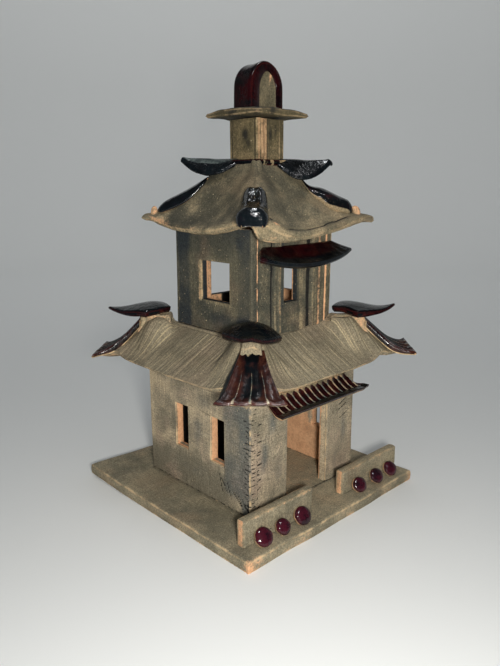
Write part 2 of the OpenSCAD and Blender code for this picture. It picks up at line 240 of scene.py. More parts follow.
class Part:
    """Vertices in mm, quads and per-vertex values, before it becomes an object."""

    def __init__(self, name, co, faces, data, do_warp=True):
        self.name, self.co, self.faces, self.data, self.do_warp = name, co, faces, data, do_warp

    def turned(self, k, name=None, shift=(0, 0)):
        """Turned by k quarter turns about Z, and shifted."""
        c, s = [(1, 0), (0, 1), (-1, 0), (0, -1)][k % 4]
        co = self.co.copy()
        co[:, 0] = c * self.co[:, 0] - s * self.co[:, 1] + shift[0]
        co[:, 1] = s * self.co[:, 0] + c * self.co[:, 1] + shift[1]
        return Part(name or self.name, co, self.faces, dict(self.data), self.do_warp)

    def spun(self, deg, name=None, shift=(0, 0, 0)):
        a = math.radians(deg)
        R = np.array([[math.cos(a), -math.sin(a), 0], [math.sin(a), math.cos(a), 0], [0, 0, 1]])
        return Part(name or self.name, self.co @ R.T + np.array(shift), self.faces, dict(self.data), self.do_warp)

    def joined(self, *others):
        co, fa, off = [self.co], [self.faces], len(self.co)
        data = {k: [v] for k, v in self.data.items()}
        for o in others:
            co.append(o.co); fa.append(o.faces + off); off += len(o.co)
            for k in data:
                data[k].append(o.data[k])
        return Part(self.name, np.concatenate(co), np.concatenate(fa), {k: np.concatenate(v) for k, v in data.items()}, self.do_warp)

    def set(self, **values):
        for k, v in values.items():
            self.data[k] = np.broadcast_to(np.asarray(v, float), (len(self.co),)).copy()
        return self

    def make(self, mats, body, slot, nodes=(), index=None):
        co = warp(self.co) if self.do_warp else self.co
        me = bpy.data.meshes.new(self.name)
        nv, nf = len(co), len(self.faces)
        me.vertices.add(nv)
        me.vertices.foreach_set("co", (co * MM).astype(np.float32).ravel())
        me.loops.add(nf * 4)
        me.loops.foreach_set("vertex_index", self.faces.astype(np.int32).ravel())
        me.polygons.add(nf)
        me.polygons.foreach_set("loop_start", np.arange(0, nf * 4, 4, dtype=np.int32))
        mats = mats if isinstance(mats, (list, tuple)) else [mats]
        for m in mats:
            me.materials.append(m)
        if index is not None:
            me.polygons.foreach_set("material_index", index.astype(np.int32))
        me.update(calc_edges=True)
        me.polygons.foreach_set("use_smooth", np.ones(nf, bool))
        for k, v in self.data.items():
            if k == "pan":
                at = me.attributes.new("pan", "FLOAT_VECTOR", "POINT")
                at.data.foreach_set("vector", v.astype(np.float32).ravel())
            else:
                at = me.attributes.new(k, "FLOAT", "POINT")
                at.data.foreach_set("value", v.astype(np.float32))
        me.validate()
        ob = bpy.data.objects.new(self.name, me)
        bpy.context.scene.collection.objects.link(ob)
        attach(ob, body)
        if nodes:
            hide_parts(*nodes)
        PARTS[self.name] = ob
        return ob


def seg_dist(U, V, segs):
    d = np.full(U.shape, 1e9)
    for u0, v0, u1, v1 in segs:
        du, dv = u1 - u0, v1 - v0
        L = du * du + dv * dv
        t = np.clip(((U - u0) * du + (V - v0) * dv) / max(L, 1e-9), 0, 1)
        d = np.minimum(d, np.hypot(U - u0 - t * du, V - v0 - t * dv))
    return d


def wall(name, u, v, holes, T, place, normal, relief=None, step=1.25, r=0.9, door=None, rb=None, rough=0.15, extra_u=(), extra_v=(), butt=()):
    """An upright slab from u0..u1 by v0..v1 with rectangular holes; place(U, V) gives its outer face."""
    bu = list(extra_u) + [x for h in holes for x in (h[0], h[1])] + ([door[0], door[1]] if door else [])
    bv = list(extra_v) + [x for h in holes for x in (h[2], h[3])] + ([door[2]] if door else [])
    us, vs = lines(u[0], u[1], bu, step, r), lines(v[0], v[1], bv, step, r)
    U, V = np.meshgrid(us, vs, indexing="ij")
    cu, cv = np.meshgrid((us[1:] + us[:-1]) / 2, (vs[1:] + vs[:-1]) / 2, indexing="ij")
    mask = np.ones(cu.shape, bool)
    segs = [(u[0], v[1], u[1], v[1])] + [(u[k], v[0], u[k], v[1]) for k in (0, 1) if k not in butt]
    for h in holes:
        mask &= ~((cu > h[0]) & (cu < h[1]) & (cv > h[2]) & (cv < h[3]))
        segs += [(h[0], h[2], h[1], h[2]), (h[0], h[3], h[1], h[3]), (h[0], h[2], h[0], h[3]), (h[1], h[2], h[1], h[3])]
    if door:
        mask &= ~((cu > door[0]) & (cu < door[1]) & (cv < door[2]))
        segs += [(u[0], v[0], door[0], v[0]), (door[1], v[0], u[1], v[0]), (door[0], v[0], door[0], door[2]),
                 (door[1], v[0], door[1], door[2]), (door[0], door[2], door[1], door[2])]
    else:
        segs += [(u[0], v[0], u[1], v[0])]
    D = seg_dist(U, V, segs)
    P = place(U, V)
    N = np.broadcast_to(np.asarray(normal, float), P.shape)
    h = relief(U, V) if relief else 0.0
    fade = sstep(0.0, 1.5, D)
    p = solid(name, P, T, N=N, D=D, mask=mask, r=r, rb=rb, relief=h * fade, relief_b=0.25 * fbm(U / 14, V / 14, 0, 77, 3) * fade,
              rough=rough, pan=np.stack([U, V], -1), bulge=0.15)
    return p


def grooves(U, V, segs, width, depth):
    """Knife lines: relief below the surface."""
    h = np.zeros(U.shape)
    for s in segs:
        d = seg_dist(U, V, [s[:4]])
        w = s[4] if len(s) > 4 else width
        k = s[5] if len(s) > 5 else depth
        h = np.minimum(h, -k * np.exp(-(d / w) ** 2))
    return h


# ------------------------------------------------------------------ materials
class Mat:
    def __init__(self, name):
        self.mat = bpy.data.materials.new(name)
        self.mat.use_nodes = True
        self.nt = self.mat.node_tree
        self.nt.nodes.clear()
        self.out = self.nt.nodes.new("ShaderNodeOutputMaterial")
        self.bsdf = self.nt.nodes.new("ShaderNodeBsdfPrincipled")
        self.nt.links.new(self.bsdf.outputs[0], self.out.inputs[0])
        tc = self.nt.nodes.new("ShaderNodeTexCoord")
        self.obj = tc.outputs["Object"]
        self._a = {}

    def put(self, sock, v):
        if isinstance(v, bpy.types.NodeSocket):
            self.nt.links.new(v, sock)
        elif hasattr(sock.default_value, "__len__") and not hasattr(v, "__len__"):
            sock.default_value = (v, v, v, 1)[: len(sock.default_value)]
        elif hasattr(v, "__len__") and len(v) == 3 and len(sock.default_value) == 4:
            sock.default_value = (*v, 1)
        else:
            sock.default_value = v

    def attr(self, name):
        if name not in self._a:
            n = self.nt.nodes.new("ShaderNodeAttribute")
            n.attribute_name = name
            self._a[name] = n
        return self._a[name].outputs["Fac"]

    def pan(self, sx=1.0, sy=1.0, sz=1.0, off=(0, 0, 0)):
        if "pan" not in self._a:
            n = self.nt.nodes.new("ShaderNodeAttribute")
            n.attribute_name = "pan"
            self._a["pan"] = n
        mp = self.nt.nodes.new("ShaderNodeMapping")
        self.nt.links.new(self._a["pan"].outputs["Vector"], mp.inputs["Vector"])
        mp.inputs["Scale"].default_value = (sx, sy, sz)
        mp.inputs["Location"].default_value = off
        return mp.outputs[0]

    def math(self, op, a, b=0.0, c=None, clamp=False):
        n = self.nt.nodes.new("ShaderNodeMath")
        n.operation = op
        n.use_clamp = clamp
        self.put(n.inputs[0], a)
        self.put(n.inputs[1], b)
        if c is not None:
            self.put(n.inputs[2], c)
        return n.outputs[0]

    def add(self, a, b): return self.math("ADD", a, b)
    def mul(self, a, b): return self.math("MULTIPLY", a, b)

    def noise(self, scale, detail=3.0, rough=0.55, vec=None, dist=0.0):
        n = self.nt.nodes.new("ShaderNodeTexNoise")
        n.inputs["Scale"].default_value = scale
        n.inputs["Detail"].default_value = detail
        n.inputs["Roughness"].default_value = rough
        n.inputs["Distortion"].default_value = dist
        self.put(n.inputs["Vector"], self.obj if vec is None else vec)
        return n.outputs["Fac"]

    def cells(self, scale, vec=None, feature="F1", rnd=1.0):
        n = self.nt.nodes.new("ShaderNodeTexVoronoi")
        n.feature = feature
        n.inputs["Scale"].default_value = scale
        n.inputs["Randomness"].default_value = rnd
        self.put(n.inputs["Vector"], self.obj if vec is None else vec)
        return n.outputs["Distance"]

    def rng(self, v, a, b, lo=0.0, hi=1.0, smooth=True):
        n = self.nt.nodes.new("ShaderNodeMapRange")
        n.interpolation_type = "SMOOTHSTEP" if smooth else "LINEAR"
        self.put(n.inputs["Value"], v)
        n.inputs["From Min"].default_value = a
        n.inputs["From Max"].default_value = b
        n.inputs["To Min"].default_value = lo
        n.inputs["To Max"].default_value = hi
        return n.outputs["Result"]

    def mix(self, f, a, b, mode="MIX"):
        n = self.nt.nodes.new("ShaderNodeMix")
        n.data_type = "RGBA"
        n.blend_type = mode
        n.clamp_factor = True
        self.put(n.inputs[0], f)
        self.put(n.inputs[6], a)
        self.put(n.inputs[7], b)
        return n.outputs[2]

    def fmix(self, f, a, b):
        n = self.nt.nodes.new("ShaderNodeMix")
        n.data_type = "FLOAT"
        self.put(n.inputs[0], f)
        self.put(n.inputs[2], a)
        self.put(n.inputs[3], b)
        return n.outputs[0]

    def bump(self, height, dist, strength=1.0):
        n = self.nt.nodes.new("ShaderNodeBump")
        n.inputs["Strength"].default_value = strength
        n.inputs["Distance"].default_value = dist
        self.put(n.inputs["Height"], height)
        self.nt.links.new(n.outputs[0], self.bsdf.inputs["Normal"])
        return n


def lin(r, g, b):
    """sRGB 0..255 to linear."""
    return tuple((c / 255 / 12.92) if c / 255 <= 0.04045 else ((c / 255 + 0.055) / 1.055) ** 2.4 for c in (r, g, b))


PEACH, PEACH2 = lin(222, 172, 130), lin(192, 144, 106)


def clay_colour(m, dark, mid, tan, blue=lin(52, 62, 68), blue_amt=0.5, comb=0.0, hatch=0.0, wear_amt=1.0, grain_amt=1.0, peach=(PEACH2, PEACH), pink=None):
    """Oxide wash wiped over peach clay. Returns the colour and a height for the bump."""
    if pink is None:
        pink = tuple(c * f for c, f in zip(mid, (1.12, 0.98, 0.92)))
    big = m.noise(15, 4, 0.55)
    mid_n = m.noise(70, 4, 0.6)
    fine = m.noise(420, 4, 0.7)
    grain = m.noise(900, 2, 0.7)
    hue = m.noise(21, 3, 0.55, dist=0.3)
    pale = m.attr("pale")
    tone = m.add(m.add(m.mul(big, 0.62), m.mul(mid_n, 0.28)), m.mul(fine, 0.10))
    col = m.mix(m.rng(m.add(tone, m.mul(pale, 0.10)), 0.36, 0.60), dark, mid)
    col = m.mix(m.mul(m.rng(m.add(m.add(m.mul(mid_n, 0.5), m.mul(fine, 0.5)), m.mul(pale, 0.16)), 0.46, 0.78), 0.6), col, tan)
    col = m.mix(m.mul(m.rng(hue, 0.50, 0.68), 0.55), col, pink)
    col = m.mix(m.mul(m.rng(m.add(pale, m.mul(m.add(m.add(fine, mid_n), -1.0), 0.9)), 0.30, 1.0), 0.8), col, tan)
    # blue-grey wash where the piece says so: soot staining on most pieces, painted shade on some
    smoke = m.rng(m.add(m.add(m.attr("smoke"), m.mul(m.add(m.noise(24, 5, 0.6, dist=0.4), -0.5), 1.3)), m.mul(m.add(fine, -0.5), 0.5)), 0.12, 0.90)
    col = m.mix(m.mul(smoke, blue_amt), col, blue)
    # wiping strokes, along or across the panel
    if hatch > 0:
        for k, (sx, sy) in enumerate(((1 / 22.0, 1 / 0.9), (1 / 1.1, 1 / 26.0))):
            st = m.noise(1.0, 2, 0.6, vec=m.pan(sx, sy, 0.02, (3 + k, 7, 0)))
            fld = m.rng(m.noise(30, 2, 0.5, vec=m.obj) if k else m.noise(24, 2, 0.5, dist=0.3), 0.42, 0.62)
            col = m.mix(m.mul(fld, hatch), col, m.mix(1.0, col, m.rng(st, 0.32, 0.68, 0.62, 1.38), mode="MULTIPLY"))
    comb_h = None
    # marks of a rib drawn down the slab
    if comb > 0:
        c1 = m.noise(1.0, 1, 0.5, vec=m.pan(1 / 1.25, 1 / 70.0, 0.02))
        c2 = m.noise(1.0, 1, 0.5, vec=m.pan(1 / 0.8, 1 / 40.0, 0.02, (7, 3, 0)))
        fld = m.rng(m.noise(28, 3, 0.5), 0.34, 0.60, 0.25, 1.0)
        col = m.mix(m.mul(m.mul(m.rng(c1, 0.45, 0.33), comb), fld), col, lin(62, 56, 42))
        col = m.mix(m.mul(m.mul(m.rng(c1, 0.57, 0.70), 0.85 * comb), fld), col, lin(214, 194, 152))
        col = m.mix(m.mul(m.mul(m.rng(c2, 0.58, 0.72), 0.4 * comb), fld), col, lin(196, 176, 136))
        comb_h = m.add(m.mul(c1, 0.9), m.mul(c2, 0.4))
    # grog: pale grains and small dark pits
    col = m.mix(grain_amt, col, m.mix(1.0, col, m.rng(grain, 0.30, 0.70, 0.66, 1.34), mode="MULTIPLY"))
    col = m.mix(m.mul(m.rng(m.noise(620, 1, 0.5), 0.71, 0.79), 0.55 * grain_amt), col, lin(222, 200, 160))
    col = m.mix(m.mul(m.rng(m.noise(540, 2, 0.5, dist=0.5), 0.31, 0.24), 0.85 * grain_amt), col, lin(34, 32, 30))
    # worn arrises, broken up by the noise
    worn = m.mul(m.rng(m.add(m.attr("edge"), m.mul(m.add(fine, m.mul(mid_n, 1.6)), 0.75)), 1.62, 2.05), wear_amt)
    col = m.mix(worn, col, m.mix(m.rng(mid_n, 0.42, 0.58), lin(166, 140, 104), lin(206, 178, 138)))
    # bare clay, and dark where the piece says so: deeply stained clay on most pieces, painted shade on some
    bare = m.rng(m.add(m.attr("bare"), m.mul(m.add(m.add(fine, mid_n), -1.0), 1.0)), 0.30, 0.80)
    pch = m.mix(m.rng(m.add(m.mul(mid_n, 0.5), m.mul(fine, 0.5)), 0.38, 0.62), *peach)
    pch = m.mix(m.mul(m.rng(grain, 0.56, 0.7), 0.4), pch, lin(250, 214, 172))
    pch = m.mix(m.mul(m.rng(big, 0.56, 0.72), 0.3), pch, lin(160, 140, 110))
    col = m.mix(bare, col, pch)
    dk = m.rng(m.add(m.attr("dark"), m.mul(m.add(fine, -0.5), 0.8)), 0.25, 0.8)
    col = m.mix(dk, col, lin(24, 23, 22))
    h = m.add(m.add(m.mul(fine, 0.55), m.mul(grain, 0.4)), m.mul(mid_n, 0.3))
    if comb_h is not None:
        h = m.add(h, m.mul(comb_h, 0.9 * comb))
    return col, h


def clay(name, depth=0.0006, rough=0.84, **kw):
    m = Mat(name)
    col, h = clay_colour(m, **kw)
    m.put(m.bsdf.inputs["Base Color"], col)
    m.put(m.bsdf.inputs["Roughness"], m.rng(m.noise(260, 3), 0.3, 0.7, rough - 0.1, rough + 0.1, False))
    m.bsdf.inputs["Specular IOR Level"].default_value = 0.25
    m.bump(h, depth)
    return m.mat


def glaze(name, red_a=lin(26, 4, 8), red_b=lin(54, 9, 12), brown=lin(62, 28, 18), brown_amt=0.45, rim=lin(70, 24, 20), rough=(0.16, 0.30), ridge=(lin(96, 104, 98), lin(170, 150, 120)), coat=0.22, depth=0.0006, spec=0.24):
    """Dark glossy glaze. The attribute glz is 1 where there is glaze and 0 on bare clay,
    thin is 1 where it breaks over a ridge and, on the collar leaves, where a sheen is painted in the ridge colour; tint
    goes from black-blue (0) to deep red (1)."""
    m = Mat(name)
    c_col, c_h = clay_colour(m, lin(96, 90, 72), lin(140, 126, 98), lin(184, 154, 112))
    big, mid_n, fine = m.noise(45, 4, 0.6), m.noise(150, 4, 0.6), m.noise(600, 3, 0.6)
    red = m.mix(m.rng(m.add(m.mul(big, 0.5), m.mul(mid_n, 0.5)), 0.42, 0.6), red_a, red_b)
    red = m.mix(m.mul(m.rng(mid_n, 0.50, 0.66), brown_amt), red, brown)
    blk = m.mix(m.rng(big, 0.42, 0.6), lin(4, 6, 9), lin(10, 17, 21))
    blk = m.mix(m.mul(m.rng(mid_n, 0.57, 0.72), 0.4), blk, lin(22, 9, 26))
    tint = m.rng(m.add(m.attr("tint"), m.mul(m.add(m.add(big, mid_n), -1.0), 1.1)), 0.2, 0.8)
    col = m.mix(tint, blk, red)
    col = m.mix(m.mul(m.rng(m.add(m.attr("edge"), m.mul(m.add(fine, -0.5), 0.8)), 0.55, 1.1), 0.4), col, rim)
    thin = m.rng(m.add(m.attr("thin"), m.mul(m.add(fine, -0.5), 0.9)), 0.35, 0.85)
    col = m.mix(thin, col, m.mix(m.rng(mid_n, 0.42, 0.6), *ridge))
    g = m.rng(m.add(m.attr("glz"), m.mul(m.add(m.add(fine, mid_n), -1.0), 0.5)), 0.44, 0.56)
    col = m.mix(g, c_col, col)
    m.put(m.bsdf.inputs["Base Color"], col)
    rg = m.rng(m.add(mid_n, fine), 0.7, 1.3, rough[0], rough[1], False)
    rg = m.fmix(m.mul(thin, 0.6), rg, 0.5)
    rg = m.fmix(m.attr("smoke"), rg, 0.42)
    m.put(m.bsdf.inputs["Roughness"], m.fmix(g, 0.84, rg))
    m.put(m.bsdf.inputs["Coat Weight"], m.mul(m.mul(g, coat), m.add(1.0, m.mul(m.attr("dark"), -1.0))))
    m.bsdf.inputs["Coat Roughness"].default_value = 0.04
    m.bsdf.inputs["Specular IOR Level"].default_value = spec
    h = m.fmix(g, c_h, m.add(m.mul(m.noise(300, 3, 0.6), 0.35), m.mul(m.noise(110, 2, 0.5), 0.8)))
    m.bump(h, depth)
    return m.mat


M_WALL = clay("wash_wall", dark=lin(116, 109, 92), mid=lin(152, 140, 118), tan=lin(186, 168, 138), pink=lin(168, 146, 126), blue=lin(78, 84, 84), blue_amt=0.75, hatch=0.5, wear_amt=0.8)
M_WALL2 = clay("wash_wall_upper", dark=lin(62, 62, 54), mid=lin(92, 88, 72), tan=lin(150, 134, 104), pink=lin(104, 90, 74), blue=lin(34, 42, 48), blue_amt=0.85, hatch=0.3, wear_amt=0.8)
M_ROOF = clay("wash_roof", comb=0.6, dark=lin(108, 100, 82), mid=lin(138, 128, 106), tan=lin(160, 144, 116), pink=lin(144, 128, 106), blue_amt=0.25, blue=lin(80, 76, 60), wear_amt=0.55)
M_DISH = clay("wash_dish", dark=lin(72, 69, 56), mid=lin(115, 107, 86), tan=lin(160, 143, 112), pink=lin(132, 115, 90), blue_amt=0.5, blue=lin(42, 44, 38), hatch=0.3, wear_amt=0.45)
M_BASE = clay("wash_base", dark=lin(112, 106, 88), mid=lin(146, 136, 112), tan=lin(180, 164, 134), blue_amt=0.5, blue=lin(66, 66, 60), hatch=0.35, wear_amt=0.7)
M_TOP = clay("wash_top", dark=lin(54, 50, 37), mid=lin(90, 81, 58), tan=lin(134, 117, 86), pink=lin(98, 86, 62), blue_amt=0.8, blue=lin(26, 28, 28), hatch=0.3, wear_amt=0.35, peach=(lin(128, 102, 74), lin(176, 142, 106)))
M_OX = glaze("glaze_ox", red_a=lin(20, 4, 7), red_b=lin(46, 9, 12), brown=lin(50, 22, 16), rough=(0.12, 0.26), coat=0.3, depth=0.0009)

LOWER, UPPER = "lower_section", "upper_section"

# ------------------------------------------------------------------ base slab
def make_base():
    x = lines(-110, 110, [], 2.5, 1.6); y = lines(-112, 112, [], 2.5, 1.6)
    X, Y = np.meshgrid(x, y, indexing="ij")
    wx = 0.7 * noise(Y / 34, 1.5, 0, 3) * (np.abs(X) / 110) ** 6 * np.sign(X)
    wy = 0.7 * noise(X / 34, 4.5, 0, 4) * (np.abs(Y) / 112) ** 6 * np.sign(Y)
    lift = 2.2 * sstep(130, 222, -X + Y)
    P = np.stack([X * 0.995 + wx, Y * 0.995 + wy, 10 + lift], -1)
    rel = 0.18 * fbm(X / 16, Y / 16, 0, 9, 3) - 0.12
    p = solid("base", P, 10.0, up=(0, 0, 1), r=1.5, rb=0.8, relief=rel, layers=5, bulge=0.5, rough=0.35,
              pan=np.stack([X, Y], -1), do_warp=False)
    c = p.co
    corner = np.exp(-np.hypot(c[:, 0] + 110, c[:, 1] + 112) / 10) + 0.6 * np.exp(-np.hypot(c[:, 0] - 110, c[:, 1] + 112) / 8)
    bare = 0.5 * corner + 0.10 * p.data["side"] * sstep(0, 4, c[:, 2]) + 0.16 * np.exp(-np.abs(c[:, 1] + 112) / 3)
    inside = sstep(66, 60, np.maximum(np.abs(c[:, 0] - 1.5), np.abs(c[:, 1])))
    under = sstep(3, 0.5, c[:, 2]) * p.data["back"]
    foot = np.exp(-np.abs(np.maximum(np.abs(c[:, 0] - 1.5), np.abs(c[:, 1])) - 68.5) / 1.5) * (c[:, 2] > 8)
    # painted shade: the floor inside the lower storey is darkened towards the back and the left, where the interior
    # lies in shade
    interior_floor_shade = inside * sstep(-10, 20, c[:, 1]) * sstep(30, 10, c[:, 0])
    p.set(bare=bare + 0.25 * inside * (1 - interior_floor_shade) + 0.25 * under, dark=0.95 * foot + interior_floor_shade, pale=0.3 * (c[:, 1] < -69) * (c[:, 2] > 9) + 0.3 * inside, smoke=0.35 * sstep(-20, -60, c[:, 0] + c[:, 1] * 0.2) * (c[:, 2] > 9))
    p.make(M_BASE, LOWER, "stained_clay", ["base_slab"])


# ------------------------------------------------------------------ lower storey
LX0, LX1, LY0, LY1 = -67.0, 70.0, -68.5, 68.5
SLOT_V = (36.0, 77.0)


def slot(c):
    return (c - 8.75, c + 8.75, SLOT_V[0], SLOT_V[1])


def clay_relief(seed, amp=0.3):
    return lambda U, V: amp * fbm(U / 11, V / 11, 0, seed, 4) + 0.35 * noise(U / 45, V / 45, 0, seed + 5)


def reveal(p, u, v, amount=0.95):
    """The cut sides of openings and the inner face show bare clay; the slab's own ends are stained."""
    c = p.data
    uu, vv = c["pan"][:, 0], c["pan"][:, 1]
    inside = (uu > u[0] + 0.3) & (uu < u[1] - 0.3) & (vv > v[0] + 0.3) & (vv < v[1] - 0.3)
    return amount * np.clip(c["side"] * inside + (c["back"] > 0.985), 0, 1)


def make_lower():
    top = 126.5
    # left wall, -X
    rs = np.random.RandomState(31)
    ticks = [(58.5 - 3 + 3 * a, 28 + 3.3 * k + b, 63.5 + 3 * b, 30 + 3.3 * k + 2 * a) for k, (a, b) in enumerate(rs.uniform(-1, 1, (20, 2)))]
    cuts = [(-28 - 8.75, 36, -28 - 8.75, 26), (20.5 - 8.75, 36, 20.5 - 8.75, 28.5), (-28 + 8.7, 77, 20.5 - 8.75, 79.5), (20.5 + 8.75, 36, 20.5 + 9.5, 30)]
    scr = [(-30 - 5.5 * k + 3 * a, 26 - 2.2 * k + 2 * b, -38 - 5.5 * k + 4 * b, 14 - 1.8 * k + 2 * a) for k, (a, b) in enumerate(rs.uniform(-1, 1, (7, 2)))]
    scr = [(min(max(q[0], -67), 67), max(q[1], 0.5), min(max(q[2], -67), 67), max(q[3], 0.5)) for q in scr]
    near = [(-67.5 + 1.5 * a, 6 + 4.6 * k, -61.5 + 2 * b, 8 + 4.6 * k + 2 * a) for k, (a, b) in enumerate(rs.uniform(-1, 1, (18, 2)))]

    def rel_l(U, V):
        return clay_relief(101)(U, V) + grooves(U, V, ticks, 0.5, 0.5) + grooves(U, V, cuts, 0.45, 0.8) + grooves(U, V, scr, 0.4, 0.5) + grooves(U, V, near, 0.5, 0.5)
    p = wall("lower_wall_left", (LY0 + 0.3, LY1), (0, top), [slot(20.5), slot(-28)], 9.0,
             lambda U, V: np.stack([np.full(U.shape, LX0), U, 10 + V], -1), (-1, 0, 0), rel_l)
    u, v = p.data["pan"][:, 0], p.data["pan"][:, 1]
    fr = p.data["front"]
    g = -(0.5 * grooves(u, v, ticks, 0.6, 1) + 0.6 * grooves(u, v, cuts, 0.5, 1) + grooves(u, v, scr, 0.6, 1) + grooves(u, v, near, 0.7, 0.9)) * fr
    cx = p.co[:, 0]
    endl = p.data["side"] * (u < LY0 + 0.9)
    # the worn corner: a broken pale band along the arris, with small nicks beside it
    arris = (fr * sstep(LY0 + 2.4, LY0 + 0.6, u) + endl * sstep(LX0 + 3.6, LX0 + 1.4, cx)) * (0.62 + 0.38 * noise(v / 4.5, 0, 0, 22))
    nick = np.zeros(len(u))
    for q, (a, b) in enumerate(rs.uniform(-1, 1, (24, 2))):
        zc = 9 + 3.9 * q + 1.0 * a
        nick = np.maximum(nick, np.exp(-((v - zc - 0.16 * (cx - LX0)) / 0.55) ** 2) * sstep(1.0, 2.2 + a, cx - LX0) * sstep(9.5 + b, 7.5, cx - LX0))
    nick = nick * endl * (v > 6)
    foot = np.exp(-v / 1.3) * sstep(-0.3, 0.3, noise(u / 3, 0, 0, 8)) * fr
    smoke = 1.7 * fr * (0.62 * np.exp(-((u + 62.5) / 4.5) ** 2) * (0.6 + 0.4 * noise(v / 13, 0, 0, 3)) + 0.34 * sstep(-30, -42, u) * sstep(4, 20, v)
                  + 0.34 * np.exp(-((u + 2) / 8) ** 2 - ((v - 62) / 20) ** 2) + 0.30 * np.exp(-((u - 46) / 9) ** 2 - ((v - 100) / 9) ** 2)
                  + 0.28 * np.exp(-((u + 14) / 10) ** 2 - ((v - 88) / 8) ** 2) + 0.22 * np.exp(-((u - 5) / 20) ** 2 - ((v - 20) / 6) ** 2))
    pale = fr * (0.8 * sstep(25, 50, u) * sstep(70, 95, v) + 0.55 * np.exp(-((u + 1) / 11) ** 2 - ((v - 72) / 16) ** 2) + 0.5 * np.exp(-((u - 44) / 10) ** 2 - ((v - 40) / 26) ** 2)
                 - 1.4 * sstep(38, 20, v) * sstep(-50, -25, u) + 0.35 * sstep(60, 66, u) - 0.8 * np.exp(-((u - 6) / 22) ** 2 - ((v - 108) / 12) ** 2) + 0.35 * noise(u / 17, v / 12, 0, 37) + 0.3)
    pale = pale + 1.3 * np.clip(arris, 0, 1)
    rev = reveal(p, (LY0 + 0.5, LY1), (0, top))
    sill = p.data["side"] * (np.abs(v - 36) < 0.6) * (u > LY0 + 2)
    rev = rev * (1 - 0.65 * sill * sstep(0.2, 0.5, p.data["back"])) * (u > LY0 + 2.5)
    p.data["edge"] = p.data["edge"] * (u > LY0 + 1.6) + 1.0 * np.clip(arris, 0, 1)
    p.set(bare=rev + 0.10 * arris, dark=1.0 * g + foot * 1.3 + nick * 0.95, smoke=smoke, pale=pale - 0.15)
    p.make(M_WALL, LOWER, "stained_clay", ["lower_left_wall"])
    # right wall, +X
    p = wall("lower_wall_right", (LY0 + 0.3, LY1), (0, top), [slot(20.5), slot(-33.8)], 9.0,
             lambda U, V: np.stack([np.full(U.shape, LX1), U, 10 + V], -1), (1, 0, 0), clay_relief(111), step=2.3)
    u, v = p.data["pan"][:, 0], p.data["pan"][:, 1]
    p.data["edge"] = p.data["edge"] * (u > LY0 + 1.6)
    crack = np.exp(-np.abs(u + 8 + 0.6 * noise(v / 9, 0, 0, 4)) / 0.5) * (p.data["back"] == 1)
    grey = np.exp(-((u + 22.5) / 3.0) ** 2) * sstep(30, 45, v) * (p.data["back"] == 1)
    p.set(bare=reveal(p, (LY0 + 0.5, LY1), (0, top)) * (u > LY0 + 2.5) - 0.65 * grey, pale=0.4 * (p.data["back"] == 1), dark=0.7 * crack + np.exp(-v / 1.5) * p.data["front"])
    p.make(M_WALL, LOWER, "stained_clay", ["lower_right_wall"])
    # back wall, +Y
    p = wall("lower_wall_back", (LX0 + 9, LX1 - 9), (0, top), [slot(17), slot(-14)], 9.0,
             lambda U, V: np.stack([U, np.full(U.shape, LY1), 10 + V], -1), (0, 1, 0), clay_relief(121), step=2.3)
    v = p.data["pan"][:, 1]
    # painted shade: the inner face of the back wall is darkened on its left part, where the interior lies in shade
    interior_back_shade = sstep(30, 18, p.data["pan"][:, 0]) * (p.data["back"] > 0.3)
    p.set(bare=reveal(p, (LX0 + 9, LX1 - 9), (0, top)) * (1 - interior_back_shade), dark=np.exp(-v / 1.5) * p.data["front"] + 1.2 * interior_back_shade)
    p.make(M_WALL, LOWER, "stained_clay", ["lower_back_wall"])
    # front wall, -Y, with the doorway
    lad = [(-59.5, 6 + 4.3 * k + 1.2 * math.sin(3 * k), -55.5 + 2.3 * math.sin(2.3 * k), 6.8 + 4.3 * k + 1.4 * math.sin(3 * k + 1)) for k in range(19)]
    dg = [(47 + 1.1 * k, 66 + 5.2 * k, 59.5, 71.5 + 5.2 * k) for k in range(5)] + [(36, 92, 60, 103), (50, 58, 60, 62)]
    rng = np.random.RandomState(7)
    pits = [(a, b, a + 0.3, b + 0.1, 0.65, 0.6) for a, b in zip(rng.uniform(-45, -27, 60), rng.uniform(34, 72, 60))]

    def rel_f(U, V):
        h = clay_relief(131)(U, V) + grooves(U, V, lad, 0.5, 0.6) + grooves(U, V, dg, 0.5, 0.55) + grooves(U, V, pits, 0.6, 0.6)
        h = h + 0.5 * sstep(31.5, 36, U) * sstep(44, 40, U) * 0.0
        return h
    p = wall("lower_wall_front", (LX0 + 6.4, LX1 - 8), (0, top), [], 9.0,
             lambda U, V: np.stack([U, np.full(U.shape, LY0), 10 + V], -1), (0, -1, 0), rel_f, door=(-22.0, 31.0, 88.0), butt=(0, 1))
    u, v = p.data["pan"][:, 0], p.data["pan"][:, 1]
    fr = p.data["front"]
    g = -(grooves(u, v, lad, 0.6, 1) + grooves(u, v, dg, 0.6, 1) + grooves(u, v, pits, 0.7, 1)) * fr
    smear = 0.6 * sstep(86, 94, v + 5 * noise(u / 6, v / 6, 0, 3)) * sstep(-44, -38, u) * sstep(-8, -20, u) * fr
    jamb = 0.38 * sstep(31, 34, u) * sstep(41, 36, u) * fr
    foot = np.exp(-v / 1.4) * (0.5 + 0.5 * noise(u / 4, 0, 0, 18)) * fr
    p.data["edge"] = p.data["edge"] * (u > LX0 + 10) * (u < LX1 - 12)
    smoke = fr * (0.45 * np.exp(-((u + 40) / 6) ** 2 - ((v - 78) / 12) ** 2) + 0.4 * np.exp(-((u + 50) / 5) ** 2 - ((v - 52) / 14) ** 2) + 0.3 * np.exp(-((u + 33) / 6) ** 2 - ((v - 30) / 18) ** 2)
                  + 0.4 * np.exp(-((u - 55) / 5) ** 2 - ((v - 45) / 20) ** 2) + 0.3 * np.exp(-((u - 44) / 4) ** 2 - ((v - 20) / 12) ** 2))
    pale = fr * (0.45 * sstep(40, 14, v) * sstep(-20, -40, u) + 0.25 + 0.3 * np.exp(-((u + 27) / 3) ** 2) + 0.3 * jamb)
    rj = p.data["side"] * (np.abs(u - 31) < 1.0) * (v < 87)
